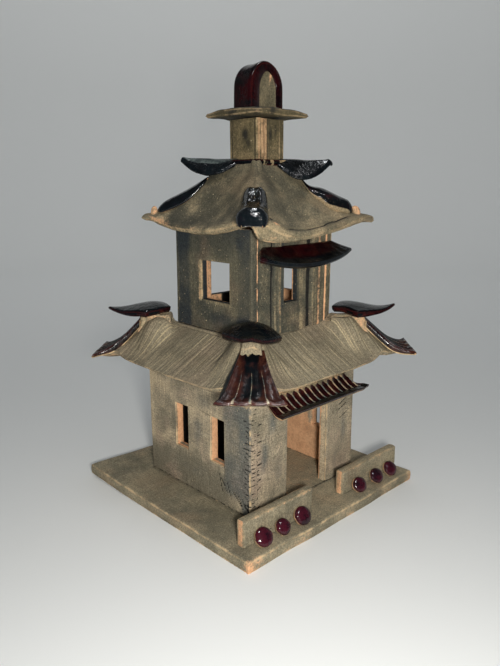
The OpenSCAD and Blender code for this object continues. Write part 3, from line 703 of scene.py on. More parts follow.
    p.set(bare=reveal(p, (LX0 + 7, LX1 - 9), (0, top)) * (u > LX0 + 10) * (u < LX1 - 12) * (1 - 0.75 * rj) + smear + 0.6 * jamb + 0.06 * sstep(30, 8, v) * fr, dark=1.05 * g + foot * 1.2, smoke=1.5 * smoke, pale=pale - 0.42 + 0.3 * noise(u / 8, v / 15, 0, 38) * fr + 1.3 * rj)
    p.make(M_WALL, LOWER, "stained_clay", ["front_wall_left", "front_wall_right", "front_wall_header"])


# ------------------------------------------------------------------ low walls and discs
def make_garden():
    for name, x0, x1, seed, node in (("garden_wall_left_slab", -100, -21, 3, "garden_wall_left"), ("garden_wall_right_slab", 21, 103, 4, "garden_wall_right")):
        us, vs = lines(x0, x1, [], 1.6, 1.1), lines(0, 22, [], 1.4, 1.1)
        U, V = np.meshgrid(us, vs, indexing="ij")
        P = np.stack([U, -97 + 0 * U, 10 + V * (1 + 0.02 * noise(U / 30, 0, 0, seed))], -1)
        D = seg_dist(U, V, [(x0, 0, x1, 0), (x0, 22, x1, 22), (x0, 0, x0, 22), (x1, 0, x1, 22)])
        p = solid(name, P, 8.5, N=np.broadcast_to([0.0, -1, 0], P.shape), D=D, r=1.1, layers=6, bulge=0.5, rough=0.3,
                  relief=0.25 * fbm(U / 9, V / 9, 0, seed, 3) * sstep(0, 1.5, D), pan=np.stack([U, V], -1))
        v = p.data["pan"][:, 1]
        ends_ = p.data["side"] * (p.data["pan"][:, 0] < x0 + 0.5) * (v > 1)
        p.set(bare=0.50 * np.exp(-np.abs(v - 21.3) / 1.0) * (p.data["back"] < 0.4) + 0.75 * ends_, dark=0.9 * np.exp(-v / 1.0) * p.data["front"], pale=0.5 * ends_,
              smoke=0.5 * sstep(0.1, 0.7, noise(p.data["pan"][:, 0] / 12, v / 9, 0, seed)) * p.data["front"])
        p.make(M_BASE, LOWER, "stained_clay", [node])
    n = 26
    for name, cs, node in (("discs_left", [(-84, 7.4), (-62, 6.5), (-39, 7.4)], "garden_discs_left"),
                           ("discs_right", [(39, 7.0), (65, 7.0), (87, 7.0)], "garden_discs_right")):
        parts = []
        for q, (cx, rad) in enumerate(cs):
            # disc as a closed pad: a square grid bent onto a circle
            t = np.linspace(-1, 1, n + 1)
            A, B = np.meshgrid(t, t, indexing="ij")
            X = A * np.sqrt(1 - B * B / 2); Y = B * np.sqrt(1 - A * A / 2)
            R = np.hypot(X, Y)
            lump = 1 + 0.035 * noise(np.arctan2(Y, X) * 1.3 + 5 * q, R, cx, 6)
            L = np.stack([X * rad * lump, Y * rad * lump, 2.4 + 3.2 * np.sqrt(np.maximum(1 - R ** 2 * 0.97, 0)) + 0.12 * noise(X * 3, Y * 3, q, 8)], -1)
            a = math.radians(54 + 3 * math.sin(q * 2.2 + cx))
            Rm = np.array([[1, 0, 0], [0, math.cos(a), -math.sin(a)], [0, math.sin(a), math.cos(a)]])
            tz = math.radians(-14)
            Rm = np.array([[math.cos(tz), -math.sin(tz), 0], [math.sin(tz), math.cos(tz), 0], [0, 0, 1]]) @ Rm
            W = L @ Rm.T + np.array([cx - 1.2, -97 - rad / 2 - 1.0, 10 + rad * math.sin(a) + 0.2])
            Nn = np.broadcast_to(Rm @ np.array([0, 0, 1.0]), W.shape)
            pp = solid("d", W, 2.2 + 0 * A + (L[..., 2] - 2.4) , N=Nn, D=(1 - R) * rad, r=0.0001, layers=4, bulge=0.25, rough=0.1)
            parts.append(pp)
        p = parts[0].joined(*parts[1:]); p.name = name
        glz = np.clip(1 - p.data["back"] * 1.2, 0, 1)
        p.set(glz=glz, thin=0.8 * (p.data["side"] > 0) * (p.data["back"] < 0.6), tint=0.8, bare=0.6, dark=0.0)
        p.make(M_DISC, LOWER, "oxblood_glaze", [node])


# ------------------------------------------------------------------ lower roof
EAVE_R, EAVE_Z, TOP_R, TOP_Z = 99.0, 128.5, 49.45, 155.3
SL = (TOP_Z - EAVE_Z) / (EAVE_R - TOP_R)


def roof_z(r):
    return EAVE_Z + SL * (EAVE_R - r)


HIPS = {"front": 0.0, "right": 1.0, "left": 0.0, "back": 0.3}


FAN_TOP = {"left": [(100, 162.2), (104, 158.2), (110.4, 150.6), (119.5, 142.7), (130.6, 135.4), (141.5, 131.4)],
           "right": [(104.5, 163.0), (112, 155.6), (119.6, 149.2), (129.8, 141.2), (138, 137.8), (147.5, 136.6)],
           "back": [(101, 161.5), (106, 156.8), (112, 150.2), (120, 143.6), (131, 136.4), (143, 132.4)],
           "front": [(101, 157.8), (108, 151.6), (115, 145.9), (122, 141.0), (131, 135.4), (142, 129.8)]}
CAP_RIDGE = {"left": [(72, 170.2), (82, 173.0), (92, 174.8), (103, 173.0), (114, 170.6), (123, 169.9), (132.5, 171.2)],
             "right": [(73, 171.2), (83, 174.2), (94, 175.8), (104, 173.8), (114, 171.6), (123, 172.4), (132.8, 176.2)],
             "back": [(72, 170.8), (82, 173.5), (92, 175.2), (103, 173.4), (114, 171.2), (123, 171.4), (132.5, 174.0)],
             "front": [(72, 171.0), (82, 174.6), (92, 176.4), (103, 174.6), (114, 172.0), (123, 172.2), (132, 174.8)]}
CAP_SIDE = {"left": (92.5, 25.0, 5.2, 5.2), "right": (95.0, 24.5, 3.6, 3.6), "back": (93.5, 24.5, 4.5, 4.5), "front": (94.0, 25.0, 8.0, 11.5)}


def curve(x, pts):
    """Smooth curve through a few (x, z) pairs."""
    px, pz = np.array([p[0] for p in pts], float), np.array([p[1] for p in pts], float)
    return np.polyval(np.polyfit(px - px.mean(), pz, min(len(pts) - 1, 4)), np.clip(x, px[0], px[-1]) - px.mean())


def fan_half(d):
    return 9.2 + 16.3 * np.clip((d - 101) / 41, 0, 1.1)


def hip_lift(x, r, k):
    """How far the slab is swept up beside the hip, for the two hips that end this panel."""
    out = np.zeros(x.shape)
    ends = {"front": ("front", "right"), "right": ("right", "back"), "back": ("back", "left"), "left": ("left", "front")}[k]
    for side, nm in ((-1, ends[0]), (1, ends[1])):
        xs = x * side
        d, m = (r + xs) / math.sqrt(2), (r - xs) / math.sqrt(2)
        g = HIPS[nm]
        A = np.interp(d, [64, 69, 73, 78, 84, 90, 95, 99, 103, 110, 118, 126, 140],
                      [0, 1.5, 7.5, 13.0, 16.0, 17.0, 15.8 + g, 12.0 + 2 * g, 8.2 + 3 * g, 5.4 + 4 * g, 4.6 + 3 * g, 3.0 + g, 1.0])
        m0 = np.where(d > 99, fan_half(d), 9.0)
        w = np.interp(d, [70, 84, 100, 115], [7.0, 13.0, 13.0, 11.0])
        L = A * np.exp(-(np.maximum(m - m0, 0) / w) ** 2) * (xs > 0)
        out = np.maximum(out, L)
    return out


def make_lower_roof():
    for k, (nm, seed) in enumerate((("front", 1), ("right", 2), ("back", 3), ("left", 4))):
        near = nm in ("front", "left")
        A = steps(198, 230 if near else 156, 0.9) * 2 - 1
        S = steps(56, 40 if near else 30, 0.9)
        a, s = np.meshgrid(A, S, indexing="ij")
        r = EAVE_R + (TOP_R - EAVE_R) * s
        x = a * r
        z = EAVE_Z + (TOP_Z - EAVE_Z) * s - 1.8 * (1 - a ** 2) * (1 - s) ** 2 \
            + 0.8 * np.exp(-s / 0.07) + 0.5 * noise(x / 50, s * 2, 0, seed)
        if nm == "front":
            z = z + 4.2 * sstep(-0.3, 1.0, a) * s
        if nm == "left":
            z = z - 1.6 * s
        lift = hip_lift(x, r, nm)
        z = np.where(lift > 7, np.minimum(z + lift, 163.2), z + lift)
        ends = {"front": ("front", "right"), "right": ("right", "back"), "back": ("back", "left"), "left": ("left", "front")}[nm]
        for sg, hn in ((-1, ends[0]), (1, ends[1])):
            dd, mm = (r + sg * x) / math.sqrt(2), (r - sg * x) / math.sqrt(2)
            f0 = FAN_TOP[hn][0][0]
            off = {("front", -1): 2.6, ("left", 1): -2.6}.get((nm, sg), 0.0)
            under = sstep(fan_half(dd) + off, fan_half(dd) + off - 4.0, mm) * sstep(f0 - 1, f0 + 2.5, dd) * (sg * x > 0)
            z = z + under * (np.minimum(z, curve(dd, FAN_TOP[hn]) - 6.5) - z)
        ex = 0.7 * noise(x / 24, 0, 0, seed + 40) * (1 - s) ** 3
        P = np.stack([x, -(r + ex), z], -1)
        D = np.minimum(np.minimum(s * 56, (1 - s) * 56), (1 - np.abs(a)) * r * 0.75)
        comb = 0.42 * noise(x / 1.5, s * 2.2, 0, seed + 60) + 0.3 * noise(x / 4.2, s * 1.5, 0, seed + 61)
        field = sstep(-0.5, 0.4, noise(x / 26, s * 2.5, 0, seed + 62))
        rel = comb * (0.35 + 0.65 * field) * 0.8 + 0.12 * fbm(x / 5, s * 12, 0, seed, 2)
        T = np.minimum(8.0, 1.5 + s * 56 * 0.52) + 0.75 * lift
        p = solid("lower_roof_slab_" + nm, P, T, up=(0, -0.4, 1), D=D, r=0.7, rb=0.4, relief=rel * sstep(0, 1.0, D), layers=3,
                  pan=np.stack([x, s * 56], -1))
        x_, s_ = p.data["pan"][:, 0], p.data["pan"][:, 1] / 56
        seam = np.exp(-np.abs(s_ - 0.985) / 0.012) * (p.data["front"])
        # darker along the eave
        eave_darkening = 0.35 * np.exp(-s_ / 0.06) * p.data["front"]
        along = x_ / (EAVE_R + (TOP_R - EAVE_R) * s_)
        spot = {"left": -0.86, "front": 0.90}.get(nm, 0.88)
        bare = 0.42 * sstep(0.86, 0.97, s_) * np.exp(-((along - spot) / 0.13) ** 2) * p.data["front"]
        seam = np.maximum(0.55 * seam, 0.35 * p.data["side"] * (s_ > 0.97))
        p.data["edge"] = p.data["edge"] * (s_ < 0.9)
        p.set(bare=bare + 0.35 * p.data["back"] * (s_ < 0.9), dark=1.0 * seam + eave_darkening)
        p = p.turned(k, p.name)
        p.make(M_ROOF, LOWER, "stained_clay", ["lower_roof_" + nm])
    # deck
    us = lines(-49.5, 49.5, [-27, 27], 3.0, 0.8)
    U, V = np.meshgrid(us, us, indexing="ij")
    c = (us[1:] + us[:-1]) / 2
    CU, CV = np.meshgrid(c, c, indexing="ij")
    mask = ~((np.abs(CU) < 27) & (np.abs(CV) < 27))
    segs = [(-27, -27, 27, -27), (-27, 27, 27, 27), (-27, -27, -27, 27), (27, -27, 27, 27),
            (-49.5, -49.5, 49.5, -49.5), (-49.5, 49.5, 49.5, 49.5), (-49.5, -49.5, -49.5, 49.5), (49.5, -49.5, 49.5, 49.5)]
    D = seg_dist(U, V, segs)
    P = np.stack([U, V, 156 + 0 * U], -1)
    p = solid("deck_slab", P, 9.2, up=(0, 0, 1), D=D, mask=mask, r=0.8, layers=3, relief=-0.25 + 0.15 * fbm(U / 9, V / 9, 0, 4, 3))
    rimd = np.maximum(np.abs(p.co[:, 0]), np.abs(p.co[:, 1]))
    p.data["edge"] = p.data["edge"] * (rimd < 45)
    p.set(bare=1.0 * (rimd < 42), dark=0.9 * (rimd > 44) * (rimd < 48.6), pale=0.2)
    p.make(M_ROOF, LOWER, "bare_clay", ["deck"])


# ------------------------------------------------------------------ hips: lumps, fans, caps
def hip(d, m):
    """d outwards and m to the side on the hip that points to -Y; turned onto the diagonals later."""
    return m, -d


def roof_top_at(d, m):
    return roof_z((d + np.abs(m)) / math.sqrt(2))


def fan_z(d):
    return 271.4 - np.sqrt(157.0 ** 2 - (209.4 - d) ** 2)


def make_hips():
    spots = [(315, "front", 11), (45, "right", 12), (225, "left", 13), (135, "back", 14)]
    lumps, fans, caps = [], [], []
    for ang, nm, seed in spots:
        side = 2.6 if nm == "front" else 0.0
        # ---- fan
        Tt = steps(40, 60, 1.2) * 2 - 1
        Ss = steps(46, 40, 1.2)
        t, s = np.meshgrid(Tt, Ss, indexing="ij")
        d0, d1 = FAN_TOP[nm][0][0], FAN_TOP[nm][-1][0]
        d = d0 + (d1 - d0) * s
        hw = 9.2 + 13.4 * s ** 1.08 + 2.6 * sstep(0.88, 1.0, s)
        scal = 0.9 * np.abs(np.sin(2 * math.pi * t)) ** 0.7 * sstep(0.92, 1.0, s)
        m = t * hw + 0.4 * noise(s * 3, 2, 0, seed)
        z = curve(d, FAN_TOP[nm]) + 0.5 * sstep(0.88, 1.0, s)
        flute = -np.abs(np.sin(2 * math.pi * t)) ** 0.8 * (1.0 + 0.9 * s) * sstep(-0.02, 0.12, s) * (1 - 0.35 * sstep(0.9, 1, s))
        zt = z + flute + 0.25 * noise(t * 3, s * 4, 0, seed)
        d = d + scal
        Tf = 9.0 - 4.6 * sstep(0.45, 1.0, s)
        zb = z - Tf
        P = np.stack([m, -d, zt], -1)
        D = np.minimum(np.minimum(s * 46, (1 - s) * 46), (1 - np.abs(t)) * hw)
        p = solid("fan_" + nm, P, zt - zb, N=np.broadcast_to([0.0, 0, 1], P.shape), D=D, r=1.9, rb=0.8, layers=6, bulge=0.8, rough=0.2,
                  pan=np.stack([t * 25, s * 46], -1))
        tt, ss = p.data["pan"][:, 0] / 25, p.data["pan"][:, 1] / 46
        fr, sd, bk = p.data["front"], p.data["side"], p.data["back"]
        # the flank leans out at the foot
        lean = 5.5 if nm == "front" else 1.0
        p.co[:, 0] += bk * lean * -sstep(-0.4, -1.0, tt) * np.sin(math.pi * np.clip(ss * 0.85 + 0.1, 0, 1))
        crest = np.exp(-np.minimum(np.abs(tt), np.abs(np.abs(tt) - 0.5)) / 0.016) * fr * sstep(0.30, 0.5, ss)
        tip = sstep(0.9, 1.0, ss) * np.exp(-np.minimum(np.abs(tt), np.abs(np.abs(tt) - 0.5)) / 0.05) * fr
        notch = sstep(0.16, 0.06, ss) * np.exp(-((tt + 0.3) / 0.22) ** 2) if nm == "front" else 0 * tt
        endrim = sd * (ss > 0.985) * sstep(0.25, 0.6, bk)
        topend = sd * (ss < 0.02)
        glz = 1 - np.clip(endrim + notch + topend, 0, 1)
        if nm == "front":
            # the last term paints the front fan's side faces black as shade
            tint = 0.62 * sstep(0.25, 0.6, np.abs(tt)) + 0.55 * sstep(0.8, 0.95, ss) - 0.3 * sstep(0.3, 0.05, ss) * (np.abs(tt) < 0.5) + 0.24 - 1.0 * sd * (ss < 0.98)
        else:
            tint = 0.05 + 0.65 * sstep(0.45, 0.95, ss) + 0.35 * sd
        p.set(glz=glz * (1 - 0.9 * (bk == 1)), thin=0.8 * crest + 0.9 * tip, tint=tint,
              bare=0.42 * np.clip(endrim + notch + topend, 0, 1), dark=(0.8 if nm == "front" else 0.0) * (glz > 0.6), smoke=(0.4 if nm == "front" else 0.0) * (glz > 0.6), pale=0.0)
        fans.append(p.spun(ang, p.name, shift=(side * 0.7, -side * 0.7, 0)))
        # ---- lump of clay between the slabs and the cap
        t, s = np.meshgrid(np.linspace(-1, 1, 25), np.linspace(0, 1, 29), indexing="ij")
        d = 73.0 + (d0 - 73.0 + 3.0) * s
        hw = 8.0 - 0.5 * s + 0.7 * noise(s * 5, 0, 0, seed + 3)
        m = t * hw
        z = 165.0 - 1.6 * np.abs(t) ** 3 - 4.6 * sstep(0.80, 1, s) + 0.8 * noise(t * 2, s * 4, 0, seed + 4)
        zb = roof_top_at(d, m) - 1.2
        P = np.stack([m, -d, z], -1)
        p = solid("lump_" + nm, P, np.maximum(z - zb, 0.6), N=np.broadcast_to([0.0, 0, 1], P.shape), r=1.6, rb=0.2, layers=8, bulge=0.6, rough=0.6)
        p.co[:, 0] *= 1 + 0.35 * p.data["back"] ** 2
        p.set(bare=0.24 if nm == "front" else 0.40, dark=0.0, smoke=0.0, pale=0.3)
        lumps.append(p.spun(ang, p.name, shift=(side * 0.5, -side * 0.5, 0)))
        # ---- cap: a domed kite of a plate, its long corner drawn out and turned up
        q = steps(36, 38, 1.6) * 2 - 1
        A, B = np.meshgrid(q, q, indexing="ij")
        bow = 0.085
        A2, B2 = A * (1 + bow * (1 - B ** 2)), B * (1 + bow * (1 - A ** 2))
        k = 1 - 0.045 * (A * B) ** 4
        A2, B2 = A2 * k, B2 * k
        dS, mS, drL, drR = CAP_SIDE[nm]
        di, do = CAP_RIDGE[nm][0][0], CAP_RIDGE[nm][-1][0]
        u, w = (A2 + 1) / 2, (B2 + 1) / 2
        d = di * (1 - u) * (1 - w) + dS * (u * (1 - w) + w * (1 - u)) + do * u * w
        m = mS * (u * (1 - w) - w * (1 - u)) + 0.5 * noise(A, B, 0, seed + 8)
        zr = curve(d, CAP_RIDGE[nm])
        dr = np.where(m < 0, drL, drR)
        z = zr - dr * (np.abs(m) / 25) ** 1.7 + 0.45 * noise(A * 1.3, B * 1.3, 0, seed + 9)
        P = np.stack([m, -d, z], -1)
        T = 6.4 - 3.6 * sstep(102, 131, d)
        D = np.minimum(1 - np.abs(A), 1 - np.abs(B)) * 17
        p = solid("cap_" + nm, P, T, up=(0, 0, 1), D=D, r=1.9, rb=1.6, layers=5, bulge=0.4, rough=0.2, pan=np.stack([m, d], -1))
        mm, dd = p.data["pan"][:, 0], p.data["pan"][:, 1]
        sd = p.data["side"]
        crease = np.exp(-np.abs(mm - 1.0) / 0.7) * sstep(108, 124, dd) * (nm == "front")
        dk = 0.85 if nm == "right" else 0.55
        if nm == "front":
            dk = 0.55 * sstep(5, 16, p.data["pan"][:, 0])
        p.set(glz=1.0, thin=0.3 * crease, tint=(-0.25 if nm == "front" else 0.0) + dk * sd * sstep(-0.5, 0.2, noise(mm / 9, dd / 9, 0, seed)) + 0.5 * crease, bare=0.4, dark=(1.0 if nm == "front" else 0.0), smoke=0.0)
        caps.append(p.spun(ang, p.name, shift=(side * 0.7, -side * 0.7, 0)))
    for kind, ps, mat, slot_, node in (("hip_lump_set", lumps, M_ROOF, "bare_clay", "hip_lumps"),
                                       ("fan_tile", fans, M_FAN, "oxblood_glaze", "fan_tiles"), ("hip_cap", caps, M_BLK, "black_glaze", "hip_caps")):
        for i, p in enumerate(ps):
            p.make(mat, LOWER, slot_, [node])


# ------------------------------------------------------------------ awning over the doorway
def make_door_awning():
    x0, x1 = -52.0, 66.0
    U = steps(118, 236, 0.6); V = steps(26, 26, 0.8)
    u, v = np.meshgrid(U, V, indexing="ij")
    # v = 0 on the wall, 1 at the lip; concave section
    out = 20.5 * v ** 0.92
    z = 112.5 - 10.5 * np.sin(np.minimum(v * 1.12, 1) * math.pi / 2) ** 0.9 - 1.0 * v
    z = z + 1.6 * sstep(0.93, 1.0, u) * v
    xs0 = x0 + 2.0 + 2 * (1 - v); xs1 = x1 - 12.0 * (1 - sstep(0.0, 0.95, v)) ** 1.0
    x = xs0 + (xs1 - xs0) * u
    ph = (x + 50.5 + 1.2 * (1 - v)) / 7.66 * math.pi
    body = sstep(0.02, 0.16, v) * sstep(0.80, 0.62, v)
    flute = -1.9 * np.abs(np.sin(ph)) ** 0.8 * body
    P = np.stack([x, LY0 - out, z + 0.25 * noise(x / 9, v * 3, 0, 71)], -1)
    N = np.stack([0 * x, -0.5 + 0 * x, 0.87 + 0 * x], -1)
    D = np.minimum(np.minimum(v * 26, (1 - v) * 26), np.minimum(u, 1 - u) * 118)
    T = 5.6 - 1.2 * v
    lip = 0.9 * sstep(0.8, 1.0, v) * np.sin(x / 10.0)
    p = solid("door_awning_tile", P, T, N=N, D=D, r=1.0, rb=1.0, relief=flute, layers=4, bulge=0.3, rough=0.15, pan=np.stack([x, v * 26], -1))
    xx, vv = p.data["pan"][:, 0], p.data["pan"][:, 1] / 26
    fr, sd, bk = p.data["front"], p.data["side"], p.data["back"]
    phv = (xx + 50.5 + 1.2 * (1 - vv)) / 7.66 * math.pi
    sn = np.abs(np.sin(phv))
    crest = sstep(0.50, 0.12, sn) * sstep(0.80, 0.66, vv) * fr
    topclay = sstep(0.22 - 0.12 * sn, 0.12 - 0.12 * sn, vv) * fr
    under = np.clip(bk, 0, 1) * (bk > 0.6)
    glz = 1 - np.clip(topclay + under + (sd * (bk > 0.7)), 0, 1)
    p.set(glz=glz, thin=1.1 * crest, tint=1.05 - 1.1 * sstep(0.62, 0.80, vv) - 0.4 * sd, bare=0.42 * topclay + 0.5 * under, dark=0.5 * under * (1 - sd))
    p.make(M_OX, LOWER, "oxblood_glaze", ["door_awning"])
    return p


# ------------------------------------------------------------------ upper storey
UX0, UX1, UY0, UY1 = -47.75, 51.8, -50.75, 47.75


def make_upper():
    z0, top = 156.3, 92.0
    win = 26.0

    def top_of(U, V, lo, hi):
        return V
    p = wall("upper_wall_left", (UY0 + 0.35, UY1), (0, 89), [(-23, 13, win, win + 34)], 8.0,
             lambda U, V: np.stack([np.full(U.shape, UX0), U, z0 + V], -1), (-1, 0, 0), clay_relief(201, 0.25), step=1.15, r=1.0)
    u, v = p.data["pan"][:, 0], p.data["pan"][:, 1]
    fr = p.data["front"]
    dwin = np.hypot(np.maximum(np.maximum(-23 - u, u - 13), 0), np.maximum(np.maximum(win - v, v - win - 34), 0))
    ring = fr * np.exp(-(dwin / 3.6) ** 2)
    leftstrip = fr * sstep(12.8, 13.4, u) * sstep(18.0, 16.6, u) * sstep(win - 4, win + 1, v) * sstep(win + 37, win + 33, v)
    smoke = fr * (0.75 * sstep(24, 32, u) * sstep(48, 42, u) + 0.30 * sstep(22, 12, v) + 0.5 * sstep(-28, -38, u) * sstep(-50, -47, u)
                  + 0.35 * sstep(64, 76, v) * (0.6 + 0.4 * noise(u / 9, v / 6, 0, 2)) - 0.6 * ring + 0.25 * np.exp(-((u + 8) / 12) ** 2 - ((v - 12) / 8) ** 2))
    inner = (p.data["back"] > 0.985)
    # painted shade: the cut sides of the window are darkened and washed blue-grey, as shade in the reveals
    inside = reveal(p, (UY0 + 0.6, UY1), (0, 89)) * (1 - inner)
    p.data["edge"] = p.data["edge"] * (1 - 0.75 * (dwin < 1) * (u < 10)) * (u > UY0 + 2)
    p.set(bare=0.95 * inner + 0.40 * leftstrip + 0.1 * ring * sstep(-23, -26, u), dark=0.5 * np.exp(-v / 0.7) * fr + 0.5 * inside, smoke=smoke + 1.2 * inside + 0.1 * p.data["side"] * (u < UY0 + 1),
          pale=fr * (0.75 * ring + 0.5 * leftstrip - 0.15 - 0.5 * sstep(56, 70, v)) - 0.5 * p.data["side"])
    p.make(M_WALL2, UPPER, "stained_clay", ["upper_left_wall"])
    p = wall("upper_wall_right", (UY0, UY1), (0, 89), [(-18, 18, win, win + 34)], 8.0,
             lambda U, V: np.stack([np.full(U.shape, UX1), U, z0 + V], -1), (1, 0, 0), clay_relief(211, 0.25), step=2.3)
    p.set(bare=reveal(p, (UY0, UY1), (0, 89)), dark=0.5 * np.exp(-p.data["pan"][:, 1] / 0.7) * p.data["front"])
    p.make(M_WALL2, UPPER, "stained_clay", ["upper_right_wall"])
    p = wall("upper_wall_back", (UX0 + 8, UX1 - 8), (0, 89), [(-12.7, 23.3, win - 4.5, win + 30)], 8.0,
             lambda U, V: np.stack([U, np.full(U.shape, UY1), z0 + V], -1), (0, 1, 0), clay_relief(221, 0.25), step=2.3)
    u, v = p.data["pan"][:, 0], p.data["pan"][:, 1]
    # painted shadow: the inner face under the window is darkened right of centre, as the shadow of the side window's
    # edge
    painted_window_shadow = (p.data["back"] > 0.985) * sstep(-2, 2, u) * sstep(win - 3, win - 5, v)
    # painted shade: the cut sides of the window are washed dark blue-grey, as shade in the reveals
    reveal_shade = reveal(p, (UX0 + 8, UX1 - 8), (0, 89)) * (p.data["back"] <= 0.985)
    p.set(bare=0.62 * (p.data["back"] > 0.985) * (1 - painted_window_shadow), pale=0.6 * (p.data["back"] > 0.985), dark=0.5 * np.exp(-v / 0.7) * p.data["front"] + 1.1 * painted_window_shadow, smoke=1.1 * reveal_shade)
    p.make(M_WALL2, UPPER, "stained_clay", ["upper_back_wall"])

    def rel(U, V):
        h = 0.22 * fbm(U / 9, V / 13, 0, 231, 4)
        h = h - 1.6 * sstep(-26.6, -25.6, U) * sstep(-22.2, -23.0, U)
        h = h + 1.1 * sstep(-22.6, -21.8, U) * sstep(-13.4, -14.2, U)
        h = h - 0.8 * np.exp(-((U + 18.2) / 0.5) ** 2)
        h = h - 0.6 * sstep(-14.2, -13.4, U) * sstep(19.0, 18.2, U)
        h = h - 1.8 * sstep(18.4, 19.6, U) * sstep(25.4, 24.6, U)
        h = h + 1.0 * sstep(25.2, 26.2, U) * sstep(37.2, 36.4, U)
        return h
    p = wall("upper_wall_front", (UX0 + 5.4, UX1 - 8), (0, 89), [(-9.2, 8.3, win, win + 40)], 8.0,
             lambda U, V: np.stack([U, np.full(U.shape, UY0), z0 + V], -1), (0, -1, 0), rel, step=1.15,
             extra_u=(-26, -22.6, -18.2, -14, 18.8, 25, 36.8))
    u, v = p.data["pan"][:, 0], p.data["pan"][:, 1]
    fr = p.data["front"]
    wv = 0.5 * noise(v / 14, 0, 0, 9)
    uu = u + wv
    gr = (sstep(-26.4, -25.4, uu) * sstep(-22.8, -23.4, uu) + 0.85 * sstep(18.6, 20.0, uu) * sstep(25.2, 24.2, uu)) * fr
    # incised lines, and a dark line along the window's right edge that is painted shade of the reveal
    cut_lines_and_reveal_shade = (np.exp(-np.abs(uu + 18.3) / 0.5) + np.exp(-np.abs(uu - 37.0) / 0.5) + 0.8 * np.exp(-np.abs(uu - 8.6) / 0.8) * (v > win)) * fr
    joint = fr * sstep(UX0 + 7.4, UX0 + 6.0, u) * (0.7 + 0.3 * noise(v / 3, 0, 0, 12))
    strips = (0.50 * np.exp(-((uu + 15.7) / 1.1) ** 2) + 0.30 * np.exp(-((uu + 20.6) / 1.2) ** 2) + 0.42 * np.exp(-((uu - 34.2) / 1.6) ** 2) + 0.22 * sstep(25.6, 26.6, uu) * sstep(37, 36, uu)) * fr
    # painted shade in the window reveals
    reveal_shade = reveal(p, (UX0 + 6, UX1 - 8.6), (0, 89)) * (p.data["back"] <= 0.985)
    stripes = fr * 0.35 * noise(uu / 1.6, v / 60, 0, 21)
    pale = fr * (0.5 * sstep(-42, -39, uu) * sstep(-26, -29, uu) + 0.75 * sstep(-22.6, -21.8, uu) * sstep(-13.6, -14.4, uu) + 0.6 * sstep(9.5, 11, uu) * sstep(18.5, 17, uu)
                 + 0.45 * sstep(20, 10, v) * sstep(-13, -10, uu) * sstep(18, 15, uu) + 0.7 * sstep(25.4, 26.4, uu) * sstep(37, 36, uu) + 0.35 * sstep(38, 40, uu)) + stripes - 0.3 * fr
    # painted shade: the dark band just left of the window, and the window reveals; the tone past u = 38 is real
    # staining
    smoke = fr * (0.7 * sstep(-13.8, -13, uu) * sstep(-9.0, -10.5, uu) * (v > win - 4) + 0.2 * sstep(38, 42, uu)) + 1.2 * reveal_shade
    p.data["edge"] = p.data["edge"] * (1 - 0.8 * (np.abs(u + 0.4) < 10.5)) * (u > UX0 + 8)
    p.set(bare=0.95 * (p.data["back"] > 0.985) + strips + 1.05 * joint, dark=0.85 * gr + 0.6 * cut_lines_and_reveal_shade + 0.5 * reveal_shade, pale=pale, smoke=smoke)
    p.make(M_WALL2, UPPER, "stained_clay", ["upper_front_wall"])
    # dished leaf over the window
    U = steps(118, 70, 1.0); V = steps(24, 20, 1.0)
    u, v = np.meshgrid(U, V, indexing="ij")
    w = 2 * u - 1
    x = (1 - u) * (-34 - 20 * v ** 0.62) + u * (51 + 9 * v)
    out = v * (21.5 - 5 * w ** 4)
    z = 231.5 - (14.6 - 8.2 * w ** 2) * v ** 0.9 - 2.0 * np.sin(math.pi * v) * (1 - w ** 2)
    P = np.stack([x, UY0 - out, z + 0.3 * noise(u * 5, v * 2, 0, 81)], -1)
    D = np.minimum(np.minimum(v * 24, (1 - v) * 24), np.minimum(u, 1 - u) * 100)
    p = solid("window_awning_leaf", P, 4.8, N=np.broadcast_to([0, -0.35, 0.94], P.shape), D=D, r=1.4, rb=1.4, layers=5, bulge=0.5, rough=0.12,
              pan=np.stack([x, v * 24], -1))
    vv, xx = p.data["pan"][:, 1] / 24, p.data["pan"][:, 0]
    p.set(glz=1.0 - 0.0 * vv, thin=0.0, tint=0.95 - 1.2 * sstep(0.50, 0.72, vv) * sstep(-54, -42, xx), bare=0.4, dark=0.0, edge=0.0)
    p.make(M_OX, UPPER, "oxblood_glaze", ["window_awning"])


# ------------------------------------------------------------------ upper roof
TS = 3.5
DC, DZ, DR = 202.5, 388.0, 202.6


def dish_z(x, r):
    return DZ - np.sqrt(np.maximum(DR ** 2 - x ** 2 - (DC - r) ** 2, 1.0))


PAD_TIP = {"front": 3.2, "right": 2.6, "back": 2.6, "left": 2.6}
ENDS = {"front": ("front", "right"), "right": ("right", "back"), "back": ("back", "left"), "left": ("left", "front")}


def hip_pad(x, r, nm):
    """The slabs are pressed together over the hips, so the ridge is a soft broad band with lifted corners."""
    d, m = (r + np.abs(x)) / math.sqrt(2), (r - np.abs(x)) / math.sqrt(2)
    c = math.sqrt(0.5)
    gap = dish_z(d * c, d * c) - dish_z(x, r)
    out = 0.7 * np.maximum(gap, 0) * np.exp(-(m / 14.0) ** 2) * sstep(27, 46, d) + PAD_TIP[nm] * sstep(82, 101, d) * np.exp(-(m / 17.0) ** 2)
    if nm == "right":
        # this ridge is flattened above the drop
        out = out - 5.6 * np.exp(-((d - 44.0) / 10.5) ** 2) * np.exp(-(m / 15.0) ** 2)
    return out


def panel_pad(x, r, nm):
    return np.where(x < 0, hip_pad(x, r, ENDS[nm][0]), hip_pad(x, r, ENDS[nm][1]))


